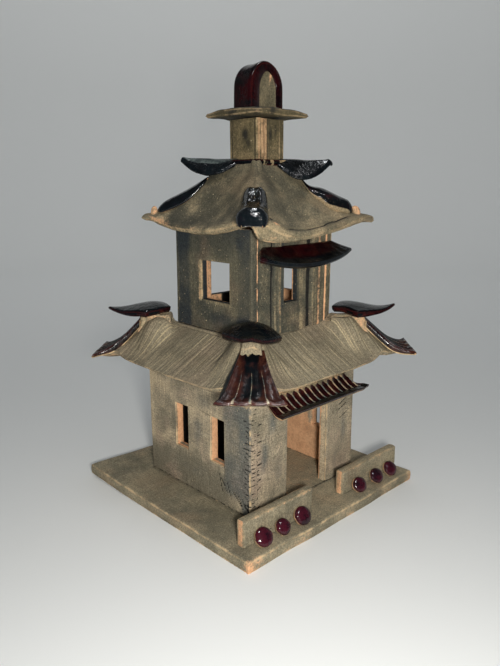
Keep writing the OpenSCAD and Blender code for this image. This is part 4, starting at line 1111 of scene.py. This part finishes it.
# how the hand-cut eave of the two near panels departs from the even curve: (place along the panel, mm)
EAVE_LEFT = ((-1, -1.0), (-0.875, -1.5), (-0.75, -1.5), (-0.6, 0.5), (-0.5, 2.2), (-0.375, 3.6), (-0.25, 4.5), (0, 5.4), (0.375, 5.6), (0.5, 5.2), (0.625, 4.2), (0.75, 2.6), (0.875, 0.8), (1, 0))
EAVE_FRONT = ((-1, 0), (-0.5, 0), (-0.25, 0.4), (0, 1.4), (0.25, 2.9), (0.375, 2.8), (0.5, 1.9), (0.625, 0.6), (0.75, 0), (1, 0))
FOLD = ((-1, 6.0), (-0.95, 9.0), (-0.90, 17.0), (-0.86, 20.5), (-0.75, 18.5), (-0.625, 15.0), (-0.5, 11.6), (-0.375, 9.4), (-0.25, 8.0), (0, 6.8), (0.5, 6.8), (0.625, 7.2), (0.75, 8.6), (0.875, 9.4), (0.95, 8.0), (1, 6.2))


def make_upper_roof():
    for k, (nm, seed) in enumerate((("front", 21), ("right", 22), ("back", 23), ("left", 24))):
        near = nm in ("front", "left")
        A = steps(140, 110 if near else 80, 1.6) * 2 - 1
        S = steps(80, 64 if near else 46, 1.8)
        a, s = np.meshgrid(A, S, indexing="ij")
        re = 66.0 + 5.6 * np.abs(a) ** 3 + 1.6 * np.abs(a) ** 7 * ((a > 0) & (nm == "front") | (a < 0) & (nm == "right"))
        r = re + (20.8 - re) * s
        x = a * r
        z = dish_z(x, r) + 0.5 * noise(x / 26, s * 3, 0, seed) * sstep(0, 0.2, 1 - np.abs(a)) + panel_pad(x, r, nm)
        tab = EAVE_FRONT if nm == "front" else EAVE_LEFT
        z = z + np.interp(a, [q[0] for q in tab], [q[1] for q in tab]) * np.exp(-(s / 0.22) ** 2)
        P = np.stack([x, -r, z], -1)
        N = np.array([0, -DC, DZ]) - np.stack([x, -r, dish_z(x, r)], -1)
        N = N / np.linalg.norm(N, axis=-1, keepdims=True)
        D = np.minimum(s * 78, (1 - s) * 78)
        rel = 0.16 * fbm(x / 12, s * 9, 0, seed, 4) + 0.5 * noise(x / 19, s * 4, 0, seed + 9) * sstep(0, 0.15, 1 - np.abs(a))
        T = np.full(x.shape, 7.0)
        dk = np.zeros(x.shape)
        br = np.zeros(x.shape)
        lip = np.exp(-(s / 0.06) ** 2)
        if nm == "front":
            # a thick folded rim over the window leaf, fading out to the right
            T = 7.0 + (np.interp(a, [q[0] for q in FOLD], [q[1] for q in FOLD]) - 7.0) * np.exp(-(s / 0.10) ** 2)
            wob = 0.014 * noise(x / 9, 0, 0, seed) + 0.01 * np.sin(x / 7.0)
            line = np.exp(-((s - 0.115 + wob) / 0.013) ** 2) * sstep(-0.86, -0.76, a) * sstep(0.92, 0.7, a)
            rel = rel - 1.9 * line + 1.1 * np.exp(-((s - 0.06) / 0.035) ** 2) * sstep(0.9, 0.5, a)
            dk = 0.95 * line + 0.9 * np.exp(-((s - 0.17) / 0.025) ** 2 - ((a + 0.70) / 0.05) ** 2)
            br = 0.95 * np.exp(-((s - 0.085) / 0.03) ** 2 - ((a + 0.66) / 0.07) ** 2) + 0.16 * sstep(0.10, 0.04, s)
            rel = rel - 1.2 * np.exp(-((s - 0.17) / 0.025) ** 2 - ((a + 0.70) / 0.05) ** 2) + 0.8 * np.exp(-((s - 0.085) / 0.03) ** 2 - ((a + 0.66) / 0.07) ** 2)
        elif nm == "left":
            line = np.exp(-((s - 0.10 - 0.10 * (a - 0.62) + 0.01 * noise(x / 5, 0, 0, seed)) / 0.014) ** 2) * sstep(0.36, 0.48, a) * sstep(0.80, 0.68, a)
            rel = rel - 1.4 * line + 0.8 * np.exp(-((s - 0.05) / 0.04) ** 2) * sstep(0.2, 0.5, a)
            dk = 0.9 * line
            br = 0.42 * np.exp(-((a + 0.78) / 0.18) ** 2) * sstep(0.25, 0.02, s) + 0.22 * sstep(0.07, 0.02, s)
        else:
            rel = rel + 0.6 * np.exp(-((s - 0.05) / 0.04) ** 2)
            br = 0.25 * sstep(0.07, 0.02, s)
        p = solid("upper_roof_slab_" + nm, P, T, N=N, D=D, r=2.0, rb=2.2, relief=rel * sstep(0, 2.0, D), layers=7, bulge=1.1, rough=0.45,
                  pan=np.stack([x, s * 78], -1))
        n0 = x.size
        x_, s_ = p.data["pan"][:, 0], p.data["pan"][:, 1] / 78
        fr, sd, bk = p.data["front"], p.data["side"], p.data["back"]
        dkv, brv = np.zeros(len(p.co)), np.zeros(len(p.co))
        dkv[:n0], brv[:n0] = dk.ravel(), br.ravel()
        # a darker, sooty tone high on the roof and in soft bands down it
        soot = 0.30 * sstep(0.55, 0.95, s_) + 0.75 * np.clip(noise(x_ / 20, s_ * 2.5, 0, seed + 70) - 0.1, 0, 1) * fr
        lipz = sd * (s_ < 0.02)
        streak = noise(x_ / 7, p.co[:, 2] / 1.6, 0, seed + 81)
        p.set(bare=0.30 * (bk == 1) * (1 - lipz) + brv + lipz * (0.16 + 0.18 * streak), dark=dkv + 0.5 * (bk == 1) * (s_ > 0.12), smoke=soot - 0.3 * lipz,
              pale=0.55 * lipz + 0.35 * fr * sstep(0.16, 0.03, s_) + 0.15 * fr * sstep(0.5, 0.2, s_) + 0.5 * noise(x_ / 13, s_ * 5, 0, seed + 71) * fr)
        if nm == "front":
            tv = p.data["pan"][:, 2]
            fr_ = np.where(bk > 0, np.clip(bk, 1e-6, 1), 1.0)
            ext = np.where(bk > 0, np.maximum(tv / fr_ - 7.0, 0) * fr_, 0.0)
            a_ = np.clip(x_ / (71.0 - 50.0 * s_), -1, 1)
            rr_ = 66.0 + 5.6 * np.abs(a_) ** 3
            rr_ = rr_ + (20.8 - rr_) * s_
            Nv = np.stack([-x_, -DC + rr_, DZ - dish_z(x_, rr_)], -1)
            Nv /= np.linalg.norm(Nv, axis=-1, keepdims=True)
            p.co = p.co + ext[:, None] * (Nv - np.array([0, 0, 1.0]) * Nv[:, 2:3])
        p = p.turned(k, p.name, shift=(TS, -TS))
        p.make(M_DISH, UPPER, "stained_clay", ["upper_roof_" + nm])


def hip_roof_z(d, m, nm):
    r, x = (d + np.abs(m)) / math.sqrt(2), (d - np.abs(m)) / math.sqrt(2)
    return dish_z(x, r) + hip_pad(x, r, nm)


# along each drop, outer distance d: half width, height over the ridge
DROPS = {"front": ([54.5, 56, 58, 62, 69, 76, 82, 87, 91, 95, 98, 100.5, 102.4, 103.6, 104.2], [7.4, 8.6, 9.2, 9.9, 10.6, 11.2, 11.8, 12.2, 12.3, 12.1, 11.7, 11.1, 10.3, 9.4, 8.4], [0.2, 4.4, 6.2, 6.4, 6.4, 6.4, 6.8, 7.8, 8.6, 8.4, 7.6, 6.4, 4.8, 2.6, 0.2]),
         "left": ([43, 45, 50, 58, 64, 70, 76, 82, 85.5, 87.5], [5.5, 7.4, 9.0, 9.9, 9.6, 8.8, 7.9, 6.6, 5.0, 2.4], [0.8, 1.6, 3.0, 4.6, 5.6, 6.4, 7.0, 6.6, 4.8, 2.0]),
         "right": ([39, 42, 47, 53, 59, 65, 71, 77, 81, 83.6, 85], [4.5, 7.4, 9.8, 11.6, 12.6, 12.6, 11.6, 9.8, 8.2, 6.0, 3.0], [0.6, 1.4, 2.6, 4.2, 5.4, 6.2, 7.0, 7.8, 8.0, 5.6, 2.2]),
         "back": ([42, 45, 50, 57, 64, 70, 76, 81, 84, 85.5], [5.0, 7.4, 9.0, 10.4, 11.4, 11.4, 10.6, 8.6, 6.0, 3.0], [0.8, 1.8, 3.0, 4.6, 5.6, 6.6, 7.4, 7.2, 5.0, 2.2])}


def make_drops():
    for i, (ang, nm) in enumerate(((315, "front"), (45, "right"), (225, "left"), (135, "back"))):
        kd, kw, kh = DROPS[nm]
        d0, d1 = kd[0], kd[-1]
        F = np.linspace(0, 1, 45)
        S = np.unique(np.concatenate([0.06 * np.linspace(0, 1, 8), np.linspace(0.06, 0.84, 36), 1 - 0.16 * np.linspace(1, 0, 18) ** 2]))
        f, s = np.meshgrid(F, S, indexing="ij")
        d = d0 + (d1 - d0) * s
        hw = np.interp(d, kd, kw) + 0.25 * noise(s * 6, 0, 0, i + 50)
        H = np.interp(d, kd, kh)
        # even the corners of the tables out
        for _ in range(3):
            hw[:, 1:-1] = (hw[:, :-2] + 2 * hw[:, 1:-1] + hw[:, 2:]) / 4
            H[:, 1:-1] = (H[:, :-2] + 2 * H[:, 1:-1] + H[:, 2:]) / 4
        tuck = 0.5 * sstep(0.45, 0.80, s) if nm == "front" else 0 * s
        phi = -tuck + (math.pi + 2 * tuck) * f
        t = -np.cos(phi)
        sn = np.sin(phi)
        zc = hip_roof_z(d, 0 * d, nm)
        if nm == "front":
            m = hw * t - 0.6 - 1.6 * sstep(0.2, 0.8, s)
            zc = zc - 1.0 * sstep(96, 100, d) - 2.6 * sstep(99, 104, d)
            ze = hip_roof_z(np.minimum(d, 88), hw, nm) + 0.4
            ze = ze + (250.2 - 1.2 * sstep(96, 104, d) - ze) * sstep(82, 91, d)
            p_ = 0.55 + 0.35 * sstep(0.5, 0.8, s)
        else:
            m = hw * t
            ze = hip_roof_z(d, hw, nm) + 1.0
            p_ = 0.66 + 0 * s
        zm = ze + (zc + H - ze) * np.sin(tuck) / (1 + np.sin(tuck))
        z = zm + (zc + H - zm) * np.where(sn > 0, np.abs(sn) ** p_, sn)
        if nm == "front":
            fl = sstep(0.56, 0.40, s) * sstep(0.0, 0.06, s) * np.clip(sn, 0, 1)
            z = z - 1.3 * np.abs(np.sin(f * math.pi * 3)) ** 1.2 * fl
        z = z + 0.12 * noise(t * 3, s * 5, i, 9)
        P = np.stack([m, -d, z], -1)
        D = np.full(s.shape, 9.0)
        N = normals_of(P)
        N = N * np.sign(N[..., 2].mean())
        high = np.clip(sn, 0, 1) ** p_
        p = solid("drop_" + nm, P, 1.6, N=N, D=D, r=0.001, rb=0.001, layers=3, bulge=0.1, rough=0.1,
                  pan=np.stack([t * 10, s * 42], -1))
        tt, ss = p.data["pan"][:, 0] / 10, p.data["pan"][:, 1] / 42
        fr, sd = p.data["front"], p.data["side"]
        rimv = sd + (p.data["back"] >= 1)
        bare = 0.62 * np.ones(len(tt))
        if nm == "right":
            # on the side that faces the front the glaze is thin, and stops short of the roof
            lo = np.ones(len(tt)); lo[:high.size] = high.ravel()
            flank = fr * (tt < 0) * sstep(0.78, 0.66, lo + 0.025 * noise(ss * 6, 0, 0, 3)) * sstep(0.96, 0.80, ss)
            rimv = rimv + fr * (tt < 0) * sstep(0.30, 0.24, lo + 0.02 * noise(ss * 8, 0, 0, 6)) * sstep(0.98, 0.88, ss)
            bare = 0.25
        if nm == "front":
            rimv = rimv + fr * (sstep(0.055, 0.03, ss + 0.03 * noise(tt * 6, 0, 0, 4))) * (np.abs(tt + 0.15) < 0.5)
            rimv = rimv + (ss > 0.985) * (1 - fr)
        streak = 0.55 * fr * sstep(0.56, 0.42, ss) * np.exp(-((np.mod(tt * 3.1 + 0.5, 1) - 0.5) / 0.10) ** 2) * (np.abs(tt) < 0.8)
        p.set(glz=1 - np.clip(rimv, 0, 1), thin=streak if nm == "front" else (0.30 * flank if nm == "right" else 0.0), tint=(0.0 if nm in ("front", "left") else 0.30), bare=bare, dark=0.0, edge=0.2, smoke=0.0, pale=0.1)
        p.spun(ang, p.name, shift=(TS, -TS, 0)).make(M_DROP, UPPER, "black_glaze", ["hip_drops"])
        # small clay nub at the foot of the drop
        if nm != "front":
            t = np.linspace(-1, 1, 15)
            A, B = np.meshgrid(t, t, indexing="ij")
            X = A * np.sqrt(1 - B * B / 2); Y = B * np.sqrt(1 - A * A / 2)
            R = np.hypot(X, Y)
            rr = 3.0 if nm == "left" else 4.2
            d = (88.2 if nm == "left" else 84.0) + rr * 0.9 + Y * rr; m = X * rr * 0.9
            z = hip_roof_z(d, m, nm) + 0.6 + 5.0 * np.sqrt(np.maximum(1 - R * R * 0.98, 0))
            P = np.stack([m, -d, z], -1)
            q = solid("nub_" + nm, P, z - hip_roof_z(d, m, nm) + 1.2, N=np.broadcast_to([0.0, 0, 1], P.shape), D=(1 - R) * rr, r=0.3, layers=3, bulge=0.4, rough=0.2)
            q.set(bare=0.55, dark=0.0, smoke=0.0, pale=0.5)
            q.spun(ang, q.name, shift=(TS, -TS, 0)).make(M_DISH, UPPER, "stained_clay")


# ------------------------------------------------------------------ collar, neck, cap plate, finial
def make_top():
    t = lines(-22, 22, [], 2.0, 0.9)
    U, V = np.meshgrid(t, t, indexing="ij")
    P = np.stack([U + TS, V - TS, 300.3 + 0 * U], -1)
    p = solid("collar", P, 5.0, up=(0, 0, 1), r=0.9, rb=0.9, layers=4, bulge=0.3, rough=0.25)
    c = p.co
    black = np.maximum(sstep(-19, -21, c[:, 0] - TS), 0.75 * sstep(-19, -21, c[:, 1] + TS) * sstep(-0.5, 0.1, noise(c[:, 0] / 5, 0, 0, 97)))
    p.set(glz=np.clip(0.35 + black, 0, 1), thin=0.0, tint=0.1, bare=0.3, dark=0.3)
    p.make(M_BLK, UPPER, "black_glaze", ["collar_plate"])
    for i, (ang, nm, dz) in enumerate(((45, "right", -2.0), (225, "left", 0.0), (135, "back", -1.0))):
        q = steps(54, 46, 1.6)
        w_ = steps(34, 34, 1.6) * 2 - 1
        S, W = np.meshgrid(q, w_, indexing="ij")
        d = 12.0 + 53.5 * S
        hw = np.maximum(np.interp(d, [12, 17, 22, 28, 34, 40, 46, 51, 56, 61, 64, 65.5], [9.0, 13.2, 15.4, 16.7, 17.0, 16.4, 14.7, 12.3, 9.2, 5.3, 2.6, 1.4]), 1.2)
        ze = np.interp(d, [12, 17, 22, 28, 34, 40, 46, 51, 56, 61, 65.5], [301.5, 299.0, 296.2, 292.6, 290.6, 290.2, 290.8, 292.2, 294.6, 298.4, 302.0]) + dz * 1.6 * np.sin(math.pi * np.clip(S, 0, 1))
        m = W * hw
        ridge = 302.4 + dz * 0.6 * S - 0.8 * np.sin(math.pi * S) + 1.2 * sstep(0.85, 1.0, S)
        if nm == "right":
            ridge = ridge - 2.6 * sstep(0.93, 1.0, S)
        z = ridge - np.maximum(ridge - ze, 0) * np.abs(W) ** 1.7
        P = np.stack([m, -d, z + 0.35 * noise(S * 5, W * 2, i, 5)], -1)
        D = np.minimum(np.minimum(S * 53, (1 - S) * 53), (1 - np.abs(W)) * hw)
        p = solid("leaf_" + nm, P, 4.2, N=np.broadcast_to([0.0, 0.12, 0.99], P.shape), D=D, r=1.7, rb=1.3, layers=5, bulge=0.4, rough=0.15)
        wv = np.zeros(len(p.co))
        wv[:W.size] = (1 - np.abs(W)).ravel()
        # painted reflection: the ridge colour on the middle of each leaf's top stands in for a grey-teal sheen,
        # strongest on the left leaf
        p.set(glz=1.0, thin=(0.80 if nm == "left" else 0.30) * p.data["front"] * sstep(0.30, 0.50, wv), tint=0.0, bare=0.4, dark=0.0, smoke=0.0, edge=0.0, pale=0.0)
        p.spun(ang, p.name, shift=(TS, -TS, 0)).make(M_LEAF, UPPER, "black_glaze", ["collar_leaves"])
    # neck: four slabs
    h = 33.4
    z0 = 300.2
    w = 16.5
    for k, nm in enumerate(("front", "right", "back", "left")):
        full = nm in ("left", "right")
        a = w if full else w - 6
        us, vs = lines(-a, a, [-2.0, -5.5, 0.5], 0.9, 0.8), lines(0, h, [], 1.1, 0.8)
        U, V = np.meshgrid(us, vs, indexing="ij")
        rel = 0.25 * fbm(U / 4, V / 9, 0, 300 + k, 3)
        gz = 0 * U
        if nm == "left":
            for c0 in (-w + 2.6, w - 2.4):
                gz = gz - 0.9 * np.exp(-((U - c0) / 0.5) ** 2)
        if nm == "front":
            for c0 in (-a + 3.2, -a + 6.8):
                gz = gz - 0.6 * np.exp(-((U - c0) / 0.4) ** 2)
        P = np.stack([U, -w + 0 * U, z0 + V], -1)
        D = seg_dist(U, V, [(-a, 0, a, 0), (-a, h, a, h), (-a, 0, -a, h), (a, 0, a, h)])
        p = solid("neck_" + nm, P, 6.0, N=np.broadcast_to([0.0, -1, 0], P.shape), D=D, r=0.8, relief=(rel + gz) * sstep(0, 1, D) , layers=3, rough=0.15,
                  pan=np.stack([U, V], -1))
        u, v = p.data["pan"][:, 0], p.data["pan"][:, 1]
        dark = 0 * u
        bare = 0.1 * p.data["side"]
        if nm == "left":
            for c0 in (-w + 2.6, w - 2.4):
                dark = dark + 0.9 * np.exp(-((u - c0) / 0.6) ** 2) * p.data["front"]
        if nm == "front":
            bare = bare + 0.75 * sstep(-a + 7.5, -a + 5.5, u) * p.data["front"]
            dark = dark + 0.5 * np.exp(-((u + a - 8.8) / 1.6) ** 2) * p.data["front"]
            for c0 in (-a + 3.2, -a + 6.8):
                dark = dark + 0.7 * np.exp(-((u - c0) / 0.45) ** 2) * p.data["front"]
        if nm == "left":
            bare = bare + 0.9 * p.data["side"] * (np.abs(u) > w - 0.5)
        sm = 0 * u
        if nm == "left":
            sm = 0.9 * np.exp(-((u - 2.5) / 3.6) ** 2 - ((v - 21) / 4.5) ** 2) + 0.5 * np.exp(-((u - 7) / 3) ** 2 - ((v - 13) / 5) ** 2)
        if nm == "front":
            sm = 0.8 * np.exp(-((u - 0) / 2.6) ** 2 - ((v - 20) / 8) ** 2) + 0.6 * np.exp(-((u - 6) / 2.2) ** 2 - ((v - 24) / 7) ** 2)
        p.set(bare=bare, dark=dark, smoke=sm * p.data["front"], pale=(0.35 - 0.9 * sm + 0.3 * sstep(9, 3, v)) * p.data["front"])
        p.turned(k, p.name, shift=(TS, -TS)).make(M_TOP, UPPER, "stained_clay", ["neck"])
    # cap plate
    t = lines(-31.5, 31.5, [], 1.3, 1.2)
    U, V = np.meshgrid(t, t, indexing="ij")
    q = (U ** 2 + V ** 2) / (2 * 31.5 ** 2)
    X = U * (1 - 0.02 * (np.abs(V) / 31.5) ** 2); Y = V * (1 - 0.02 * (np.abs(U) / 31.5) ** 2)
    z = 343.2 - 4.6 * q ** 0.85 + 0.5 * noise(U / 14, V / 14, 0, 91)
    P = np.stack([X + TS, Y - TS, z], -1)
    T = 8.6 - 5.0 * q ** 0.8
    D = seg_dist(U, V, [(-31.5, -31.5, 31.5, -31.5), (-31.5, 31.5, 31.5, 31.5), (-31.5, -31.5, -31.5, 31.5), (31.5, -31.5, 31.5, 31.5)])
    p = solid("top_plate", P, T, up=(0, 0, 1), D=D, r=1.3, rb=1.3, relief=0.25 * fbm(U / 7, V / 7, 0, 92, 3) * sstep(0, 2, D), layers=4, bulge=0.5, rough=0.3)
    c = p.co
    near = np.exp(-np.hypot(c[:, 0] - TS + 31.5, c[:, 1] + TS + 31.5) / 7)
    p.set(bare=0.30 * near + 0.05 * p.data["side"], dark=0.0, pale=-0.3, smoke=0.15 + 0.6 * sstep(0.1, 0.6, noise(c[:, 0] / 9, c[:, 1] / 9, 0, 96)))
    p.make(M_TOP, UPPER, "stained_clay", ["cap_plate"])
    # finial: arch section along Y, with a shallow saddle along its crown
    fz, fh, fw = 340.6, 39.0, 40.0
    nphi = 64
    tt = np.linspace(0, 1, nphi + 1)
    hh = fh - 15.0

    def arch(t, w, h):
        # outline from the left foot over the crown to the right foot, by arc length
        hs = h - w / 2
        Lt = 2 * hs + math.pi * w / 2
        sarc = t * Lt
        x = np.where(sarc < hs, -w / 2, np.where(sarc > Lt - hs, w / 2, -w / 2 * np.cos((sarc - hs) / (w / 2))))
        z = np.where(sarc < hs, sarc, np.where(sarc > Lt - hs, Lt - sarc, hs + w / 2 * np.sin(np.clip((sarc - hs) / (w / 2), 0, math.pi))))
        return x, z
    yy = lines(-10.5, 10.5, [], 1.0, 1.2)
    Tm, Ym = np.meshgrid(tt, yy, indexing="ij")
    x, z = arch(Tm, fw, fh)
    saddle = 1 - 0.022 * np.cos(Ym / 10.5 * math.pi / 2) ** 2 - 0.02 * sstep(-4, 10.5, Ym)
    x = x * (1 - 0.07 * (z / fh) ** 2)
    z = z * saddle + 0.2 * noise(x / 8, Ym / 8, z / 8, 95) * (z > 1)
    P = np.stack([x, Ym, fz + z], -1)
    N = normals_of(P)
    if (N[nphi // 2, len(yy) // 2, 2]) < 0:
        N = -N
    D = np.minimum(Ym + 10.5, 10.5 - Ym)
    rr = 2.2
    tcl = np.clip(D / rr, 0, 1)
    P = P - N * (rr * (1 - np.sqrt(np.maximum(1 - (1 - tcl) ** 2, 0))))[..., None]
    # skin of the barrel, front face with a sunk arched panel, and back face, as one closed mesh
    ny = len(yy)
    co = [P.reshape(-1, 3)]
    idx = np.arange((nphi + 1) * ny).reshape(nphi + 1, ny)
    fa = [np.stack([idx[:-1, :-1], idx[1:, :-1], idx[1:, 1:], idx[:-1, 1:]], -1).reshape(-1, 4)]
    data = {"edge": [np.exp(-D / 1.3).ravel()], "kind": [np.zeros(P.shape[0] * P.shape[1])]}
    off = co[0].shape[0]

    def face_rings(jcol, ysign, rings):
        """Closes one end from its rim inwards: rings are (scale, y offset, kind)."""
        nonlocal off
        rim = P[:, jcol]
        prev = idx[:, jcol]
        cx, cz = 0.0, fz
        for sc, dy, kind in rings:
            Q = rim.copy()
            Q[:, 0] = rim[:, 0] * sc[0] + (1.4 if ysign < 0 and sc[0] < 0.61 else 0.0)
            Q[:, 2] = cz + (rim[:, 2] - cz) * sc[1]
            Q[:, 1] = rim[:, 1] + dy * -ysign
            cur = np.arange(off, off + nphi + 1)
            co.append(Q); off += nphi + 1
            data["edge"].append(np.zeros(nphi + 1)); data["kind"].append(np.full(nphi + 1, kind))
            q = np.stack([prev[:-1], cur[:-1], cur[1:], prev[1:]], 1)
            fa.append(q if ysign < 0 else q[:, ::-1])
            # bottom edge between the feet is closed by the ring itself
            prev = cur
        # cap the last ring: quads between mirrored points
        for k in range(nphi // 2):
            a0, a1, b1, b0 = prev[k], prev[k + 1], prev[nphi - k - 1], prev[nphi - k]
            if k + 1 == nphi - k - 1:
                continue
            fa.append(np.array([[a0, b0, b1, a1]] if ysign < 0 else [[a1, b1, b0, a0]]))
    face_rings(0, -1, [((0.93, 0.96), -0.15, 1), ((0.60, 0.86), 0.0, 1), ((0.575, 0.845), 0.35, 1), ((0.555, 0.83), 2.0, 2), ((0.52, 0.81), 2.2, 2), ((0.3, 0.5), 2.2, 2)])
    face_rings(ny - 1, 1, [((0.93, 0.97), -0.15, 1), ((0.6, 0.7), -0.2, 1), ((0.3, 0.4), -0.2, 1)])
    co = np.concatenate(co)
    fa = np.concatenate(fa)
    d = {k: np.concatenate(v) for k, v in data.items()}
    kind = d.pop("kind")
    d["pan"] = co * 1.0
    part = Part("finial_arch", co + np.array([TS + 1, -TS - 1, 0]), fa, d)
    pan_ = sstep(1.5, 1.9, kind)
    c = co
    lip = 0.7 * np.exp(-np.abs(c[:, 2] - fz) / 1.0)
    part.set(glz=1 - pan_, thin=0.5 * lip, tint=0.9 - 0.25 * sstep(12, 3, c[:, 2] - fz) - 0.25 * sstep(-9, -17, c[:, 0] - TS) * (c[:, 1] + TS > -9), pale=-0.9 * pan_, bare=-0.1 * pan_ + 0.75 * pan_ * sstep(23, 29, c[:, 2] - fz) * sstep(-1, 3, c[:, 0] - TS), dark=0.0, side=0.0, back=0.0, front=1.0)
    part.make(M_FIN, UPPER, "oxblood_glaze", ["finial", "finial_panel"])


M_BLK = glaze("glaze_black", rough=(0.09, 0.19), coat=0.20, depth=0.0015, spec=0.06)
M_DROP = glaze("glaze_drop", rough=(0.10, 0.20), coat=0.45, depth=0.0015, spec=0.22)
M_FIN = glaze("glaze_finial", red_a=lin(13, 2, 4), red_b=lin(38, 6, 10), brown=lin(34, 9, 8), brown_amt=0.35, rough=(0.12, 0.22), coat=0.10, spec=0.12)
# its ridge colours are the painted grey-teal sheen on the collar leaves
M_LEAF = glaze("glaze_leaf", rough=(0.20, 0.36), coat=0.12, ridge=(lin(50, 60, 60), lin(98, 108, 106)), depth=0.0012)
M_FAN = glaze("glaze_fan", red_a=lin(29, 13, 12), red_b=lin(56, 25, 19), brown=lin(68, 41, 29), brown_amt=0.7, rim=lin(84, 32, 26), rough=(0.19, 0.35), coat=0.16, depth=0.0009, spec=0.2, ridge=(lin(84, 96, 92), lin(150, 136, 112)))
M_DISC = glaze("glaze_disc", red_a=lin(38, 8, 20), red_b=lin(66, 14, 28), brown=lin(52, 14, 26), rough=(0.10, 0.2), coat=0.35)

make_base()
make_lower()
make_garden()
make_lower_roof()
make_hips()
make_door_awning()
make_upper()
make_upper_roof()
make_drops()
make_top()

# ------------------------------------------------------------------ stage, lights, camera
def make_stage():
    n, k = 96, 28
    prof = [(0.0, 0.0), (0.4, 0), (0.8, 0), (1.2, 0.0)]
    R0, rb = 1.7, 0.7
    for q in range(k + 1):
        a = q / k * math.pi / 2
        prof.append((R0 + rb * math.sin(a), rb - rb * math.cos(a)))
    prof.append((R0 + rb, 2.4))
    co, fa = [(0, 0, 0)], []
    for (r_, z_) in prof[1:]:
        for i in range(n):
            a = 2 * math.pi * i / n
            co.append((r_ * math.cos(a), r_ * math.sin(a), z_ * (0.02 + 0.98 * float(sstep(-0.25, 0.25, math.cos(a - math.pi / 4))))))
    for i in range(n):
        fa.append((0, 1 + i, 1 + (i + 1) % n))
    for q in range(len(prof) - 2):
        for i in range(n):
            a, b = 1 + q * n + i, 1 + q * n + (i + 1) % n
            fa.append((a, a + n, b + n, b))
    me = bpy.data.meshes.new("studio_floor")
    me.from_pydata(co, [], fa)
    me.polygons.foreach_set("use_smooth", np.ones(len(fa), bool))
    ob = bpy.data.objects.new("studio_floor", me)
    bpy.context.scene.collection.objects.link(ob)
    m = Mat("floor_paper")
    m.bsdf.inputs["Base Color"].default_value = (0.80, 0.81, 0.80, 1)
    m.bsdf.inputs["Roughness"].default_value = 0.9
    m.bsdf.inputs["Specular IOR Level"].default_value = 0.1
    me.materials.append(m.mat)


def aim(ob, d):
    """Points a lamp's -Z along d."""
    from mathutils import Vector
    ob.rotation_euler = Vector(d).to_track_quat("-Z", "Y").to_euler()


def lamp(name, kind, energy, d=None, loc=(0, 0, 0), colour=(1, 1, 1), size=None, angle=None):
    li = bpy.data.lights.new(name, kind)
    li.energy = energy
    li.color = colour
    if size:
        li.size = size
    if angle:
        li.angle = math.radians(angle)
    ob = bpy.data.objects.new(name, li)
    bpy.context.scene.collection.objects.link(ob)
    ob.location = loc
    if d is not None:
        aim(ob, d)
    return ob


make_stage()
cam_az, cam_el, cam_roll = -44.0016, 13.4112, 0.1276


def toward(az, el):
    """Direction from the object towards a viewer at this azimuth and elevation."""
    a, e = math.radians(az), math.radians(el)
    return np.array([math.sin(a) * math.cos(e), -math.cos(a) * math.cos(e), math.sin(e)])


cam_at = np.array([-0.38363, -0.39646, 0.27741])
rt = np.array([math.cos(math.radians(cam_az)), math.sin(math.radians(cam_az)), 0.0])
key_at = cam_at + 0.048 * rt + np.array([0, 0, -0.014]) + 0.05 * toward(cam_az, 10)
key = lamp("key", "AREA", 3.55, d=-(key_at - np.array([0, 0, 0.17])), loc=tuple(key_at), size=0.06, colour=(1.0, 0.98, 0.94))
key.data.shape = "DISK"
fill = lamp("fill", "AREA", 8.0, d=(0.25, 0.25, -1), loc=(-0.35, -0.35, 2.3), size=2.6, colour=(0.95, 0.98, 1.0))
fill.visible_glossy = False
# a small high light that is only seen in the glazes
spark_at = 0.9 * toward(cam_az + 12, 60) + np.array([0, 0, 0.2])
spark = lamp("spark", "AREA", 4.5, d=-(spark_at - np.array([0, 0, 0.2])), loc=tuple(spark_at), size=0.07, colour=(1.0, 0.98, 1.0))
spark.visible_diffuse = False
glint_at = 0.9 * toward(cam_az - 25, 98) + np.array([0, 0, 0.2])
glint = lamp("glint", "AREA", 2.6, d=-(glint_at - np.array([0, 0, 0.2])), loc=tuple(glint_at), size=0.09, colour=(0.95, 0.98, 1.0))
glint.visible_diffuse = False
# lights only the wall behind
wash_at = np.array([0.30, 0.42, 2.1])
wash = lamp("wash", "AREA", 14.6, d=(1.0, 1.0, -0.55), loc=tuple(wash_at), size=0.8, colour=(1.0, 1.0, 1.0))
wash.visible_glossy = False
world = bpy.data.worlds.new("studio")
bpy.context.scene.world = world
world.use_nodes = True
bg = world.node_tree.nodes["Background"]
bg.inputs[0].default_value = (0.86, 0.93, 1.0, 1)
bg.inputs[1].default_value = 0.10

cam = bpy.data.cameras.new("camera")
cam.sensor_fit = "AUTO"
cam.sensor_width = 36.0
cam.lens = 610.76 / 666 * 36
cam.clip_start, cam.clip_end = 0.02, 20
co_ = bpy.data.objects.new("camera", cam)
bpy.context.scene.collection.objects.link(co_)
a, e, rl = math.radians(cam_az), math.radians(cam_el), math.radians(cam_roll)
back = np.array([math.sin(a) * math.cos(e), -math.cos(a) * math.cos(e), math.sin(e)])
right = np.array([math.cos(a), math.sin(a), 0.0])
up = np.cross(right, -back)
r2 = right * math.cos(rl) + up * math.sin(rl)
u2 = -right * math.sin(rl) + up * math.cos(rl)
co_.matrix_world = Matrix([[r2[0], u2[0], back[0], -0.38363], [r2[1], u2[1], back[1], -0.39646], [r2[2], u2[2], back[2], 0.27741], [0, 0, 0, 1]])
bpy.context.scene.camera = co_
bpy.context.scene.view_settings.view_transform = "Standard"
bpy.context.scene.view_settings.look = "None"
